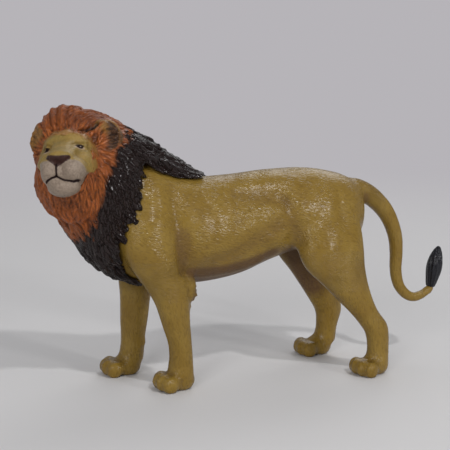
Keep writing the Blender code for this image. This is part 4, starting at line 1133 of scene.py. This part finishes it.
face_mesh = cast_from(cad_meshes("face"), SNUG_FILL, FACE_GRAIN)
face_links = links_of(face_mesh)
face_points = drawn_in(smoothed(points_of(face_mesh), face_links, FACE_ROUNDS))
set_points(face_mesh, face_points)
face_local = in_head(face_points)
front = fade(face_local[:, 0], 2, 6)
flat_place = face_local[:, 1:]
face_lift = np.zeros(len(face_points))
for path, width, height in FACE_STROKES:
    face_lift += height * stroke_weight(flat_place, path, width)
from_rim = past_face_edge(flat_place)
at_jaw = fade(-flat_place[:, 1], 1, 4)
behind = 1 - fade(face_local[:, 0], 5.5, 8.0)
under_fringe = (1 - at_jaw) * fade(from_rim, 0.3, 1.4) + at_jaw * behind
face_lift = face_lift * (1 - under_fringe) - FRINGE_DEPTH * under_fringe
face_points = face_points + normals_of(face_mesh) * (face_lift * front)[:, None]
set_points(face_mesh, face_points)
marks = {}
for tone, path, width, soft in FACE_MARKS:
    strength = (1 - fade(stroke_distance(flat_place, path), width - soft, width + soft)) * front
    if tone == "line":
        strength = strength * (1 - at_jaw * (1 - fade(face_local[:, 0], 14.5, 16)))
    marks[tone] = np.maximum(marks.get(tone, 0), strength)
for tone, strength in marks.items():
    set_tone(face_mesh, tone, strength)
covered = (1 - at_jaw) * fade(from_rim, 0.1, 0.5) + at_jaw * fade(behind, 0.4, 0.7)
set_tone(face_mesh, "under_fringe", covered)
set_tone(face_mesh, "rim_blush", 0.45 * fade(from_rim, -1.8, 0.4) * (1 - at_jaw))
set_tone(face_mesh, "hollow", hollowness(face_mesh, face_links, rounds=8, depth=0.05))
FACE_COLOUR = (0.280, 0.178, 0.042)
FACE_GREEN = (0.222, 0.152, 0.036)
FACE_SHADE = (0.110, 0.065, 0.020)
MUZZLE_COLOUR = (0.265, 0.205, 0.155)
MUZZLE_SHADE = (0.150, 0.105, 0.075)
NOSE_COLOUR = (0.034, 0.010, 0.006)
LINE_COLOUR = (0.020, 0.012, 0.012)
LID_COLOUR = (0.340, 0.240, 0.155)
EYE_COLOUR = (0.016, 0.008, 0.007)
GLINT_COLOUR = (0.420, 0.360, 0.330)
FACE_ROUGHNESS = 0.42
EYE_ROUGHNESS = 0.22
FACE_SPECULAR = 0.32
EYE_SPECULAR = 0.02
face = Paint("face_paint", FACE_ROUGHNESS, FACE_SPECULAR)
face_place = face.vector('SCALE', face.place, scale=1 / MM)
down_hair = face.noise(face_place, 1.6, 2.0)
face_mottle = face.noise(face_place, 0.35, 2.0)
face_colour = face.mix(face.spread(face_mottle, 0.35, 0.65), FACE_COLOUR, FACE_GREEN)
# painted shade in the face's creases and round its eye sockets
face_colour = face.mix(face.math('MULTIPLY', face.tone("hollow"), 0.55), face_colour, FACE_SHADE)
face_colour = face.mix(face.math('MULTIPLY', face.tone("socket"), 0.5), face_colour, FACE_SHADE)
face_colour = face.mix(face.tone("rim_blush"), face_colour, HAIRLINE)
muzzle_colour = face.mix(face.spread(down_hair, 0.55, 0.3, 0.0, 0.55), MUZZLE_COLOUR, MUZZLE_SHADE)
face_colour = face.mix(face.tone("pale"), face_colour, muzzle_colour)
for tone, colour in (
    ("under_fringe", ORANGE),
    ("rim", LID_COLOUR),
    ("nose", NOSE_COLOUR),
    ("line", LINE_COLOUR),
    ("eye", EYE_COLOUR),
    ("glint", GLINT_COLOUR),
):
    face_colour = face.mix(face.tone(tone), face_colour, colour)
face_roughness = face.spread(face.tone("eye"), 0.6, 1, FACE_ROUGHNESS, EYE_ROUGHNESS)
in_eye = face.math('MAXIMUM', face.tone("eye"), face.tone("line"))
in_eye = face.math('MAXIMUM', in_eye, face.tone("socket"))
eye_specular = face.spread(in_eye, 0, 1, FACE_SPECULAR, EYE_SPECULAR)
face.join(eye_specular, face.shader.inputs["Specular IOR Level"])
face_mesh.materials.append(face.finish(face_colour, face.relief(down_hair, distance=0.30), face_roughness))
face_mesh.shade_smooth()
face_front = bare_object("face_front", face_mesh)
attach(face_front, "root")
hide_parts("face")
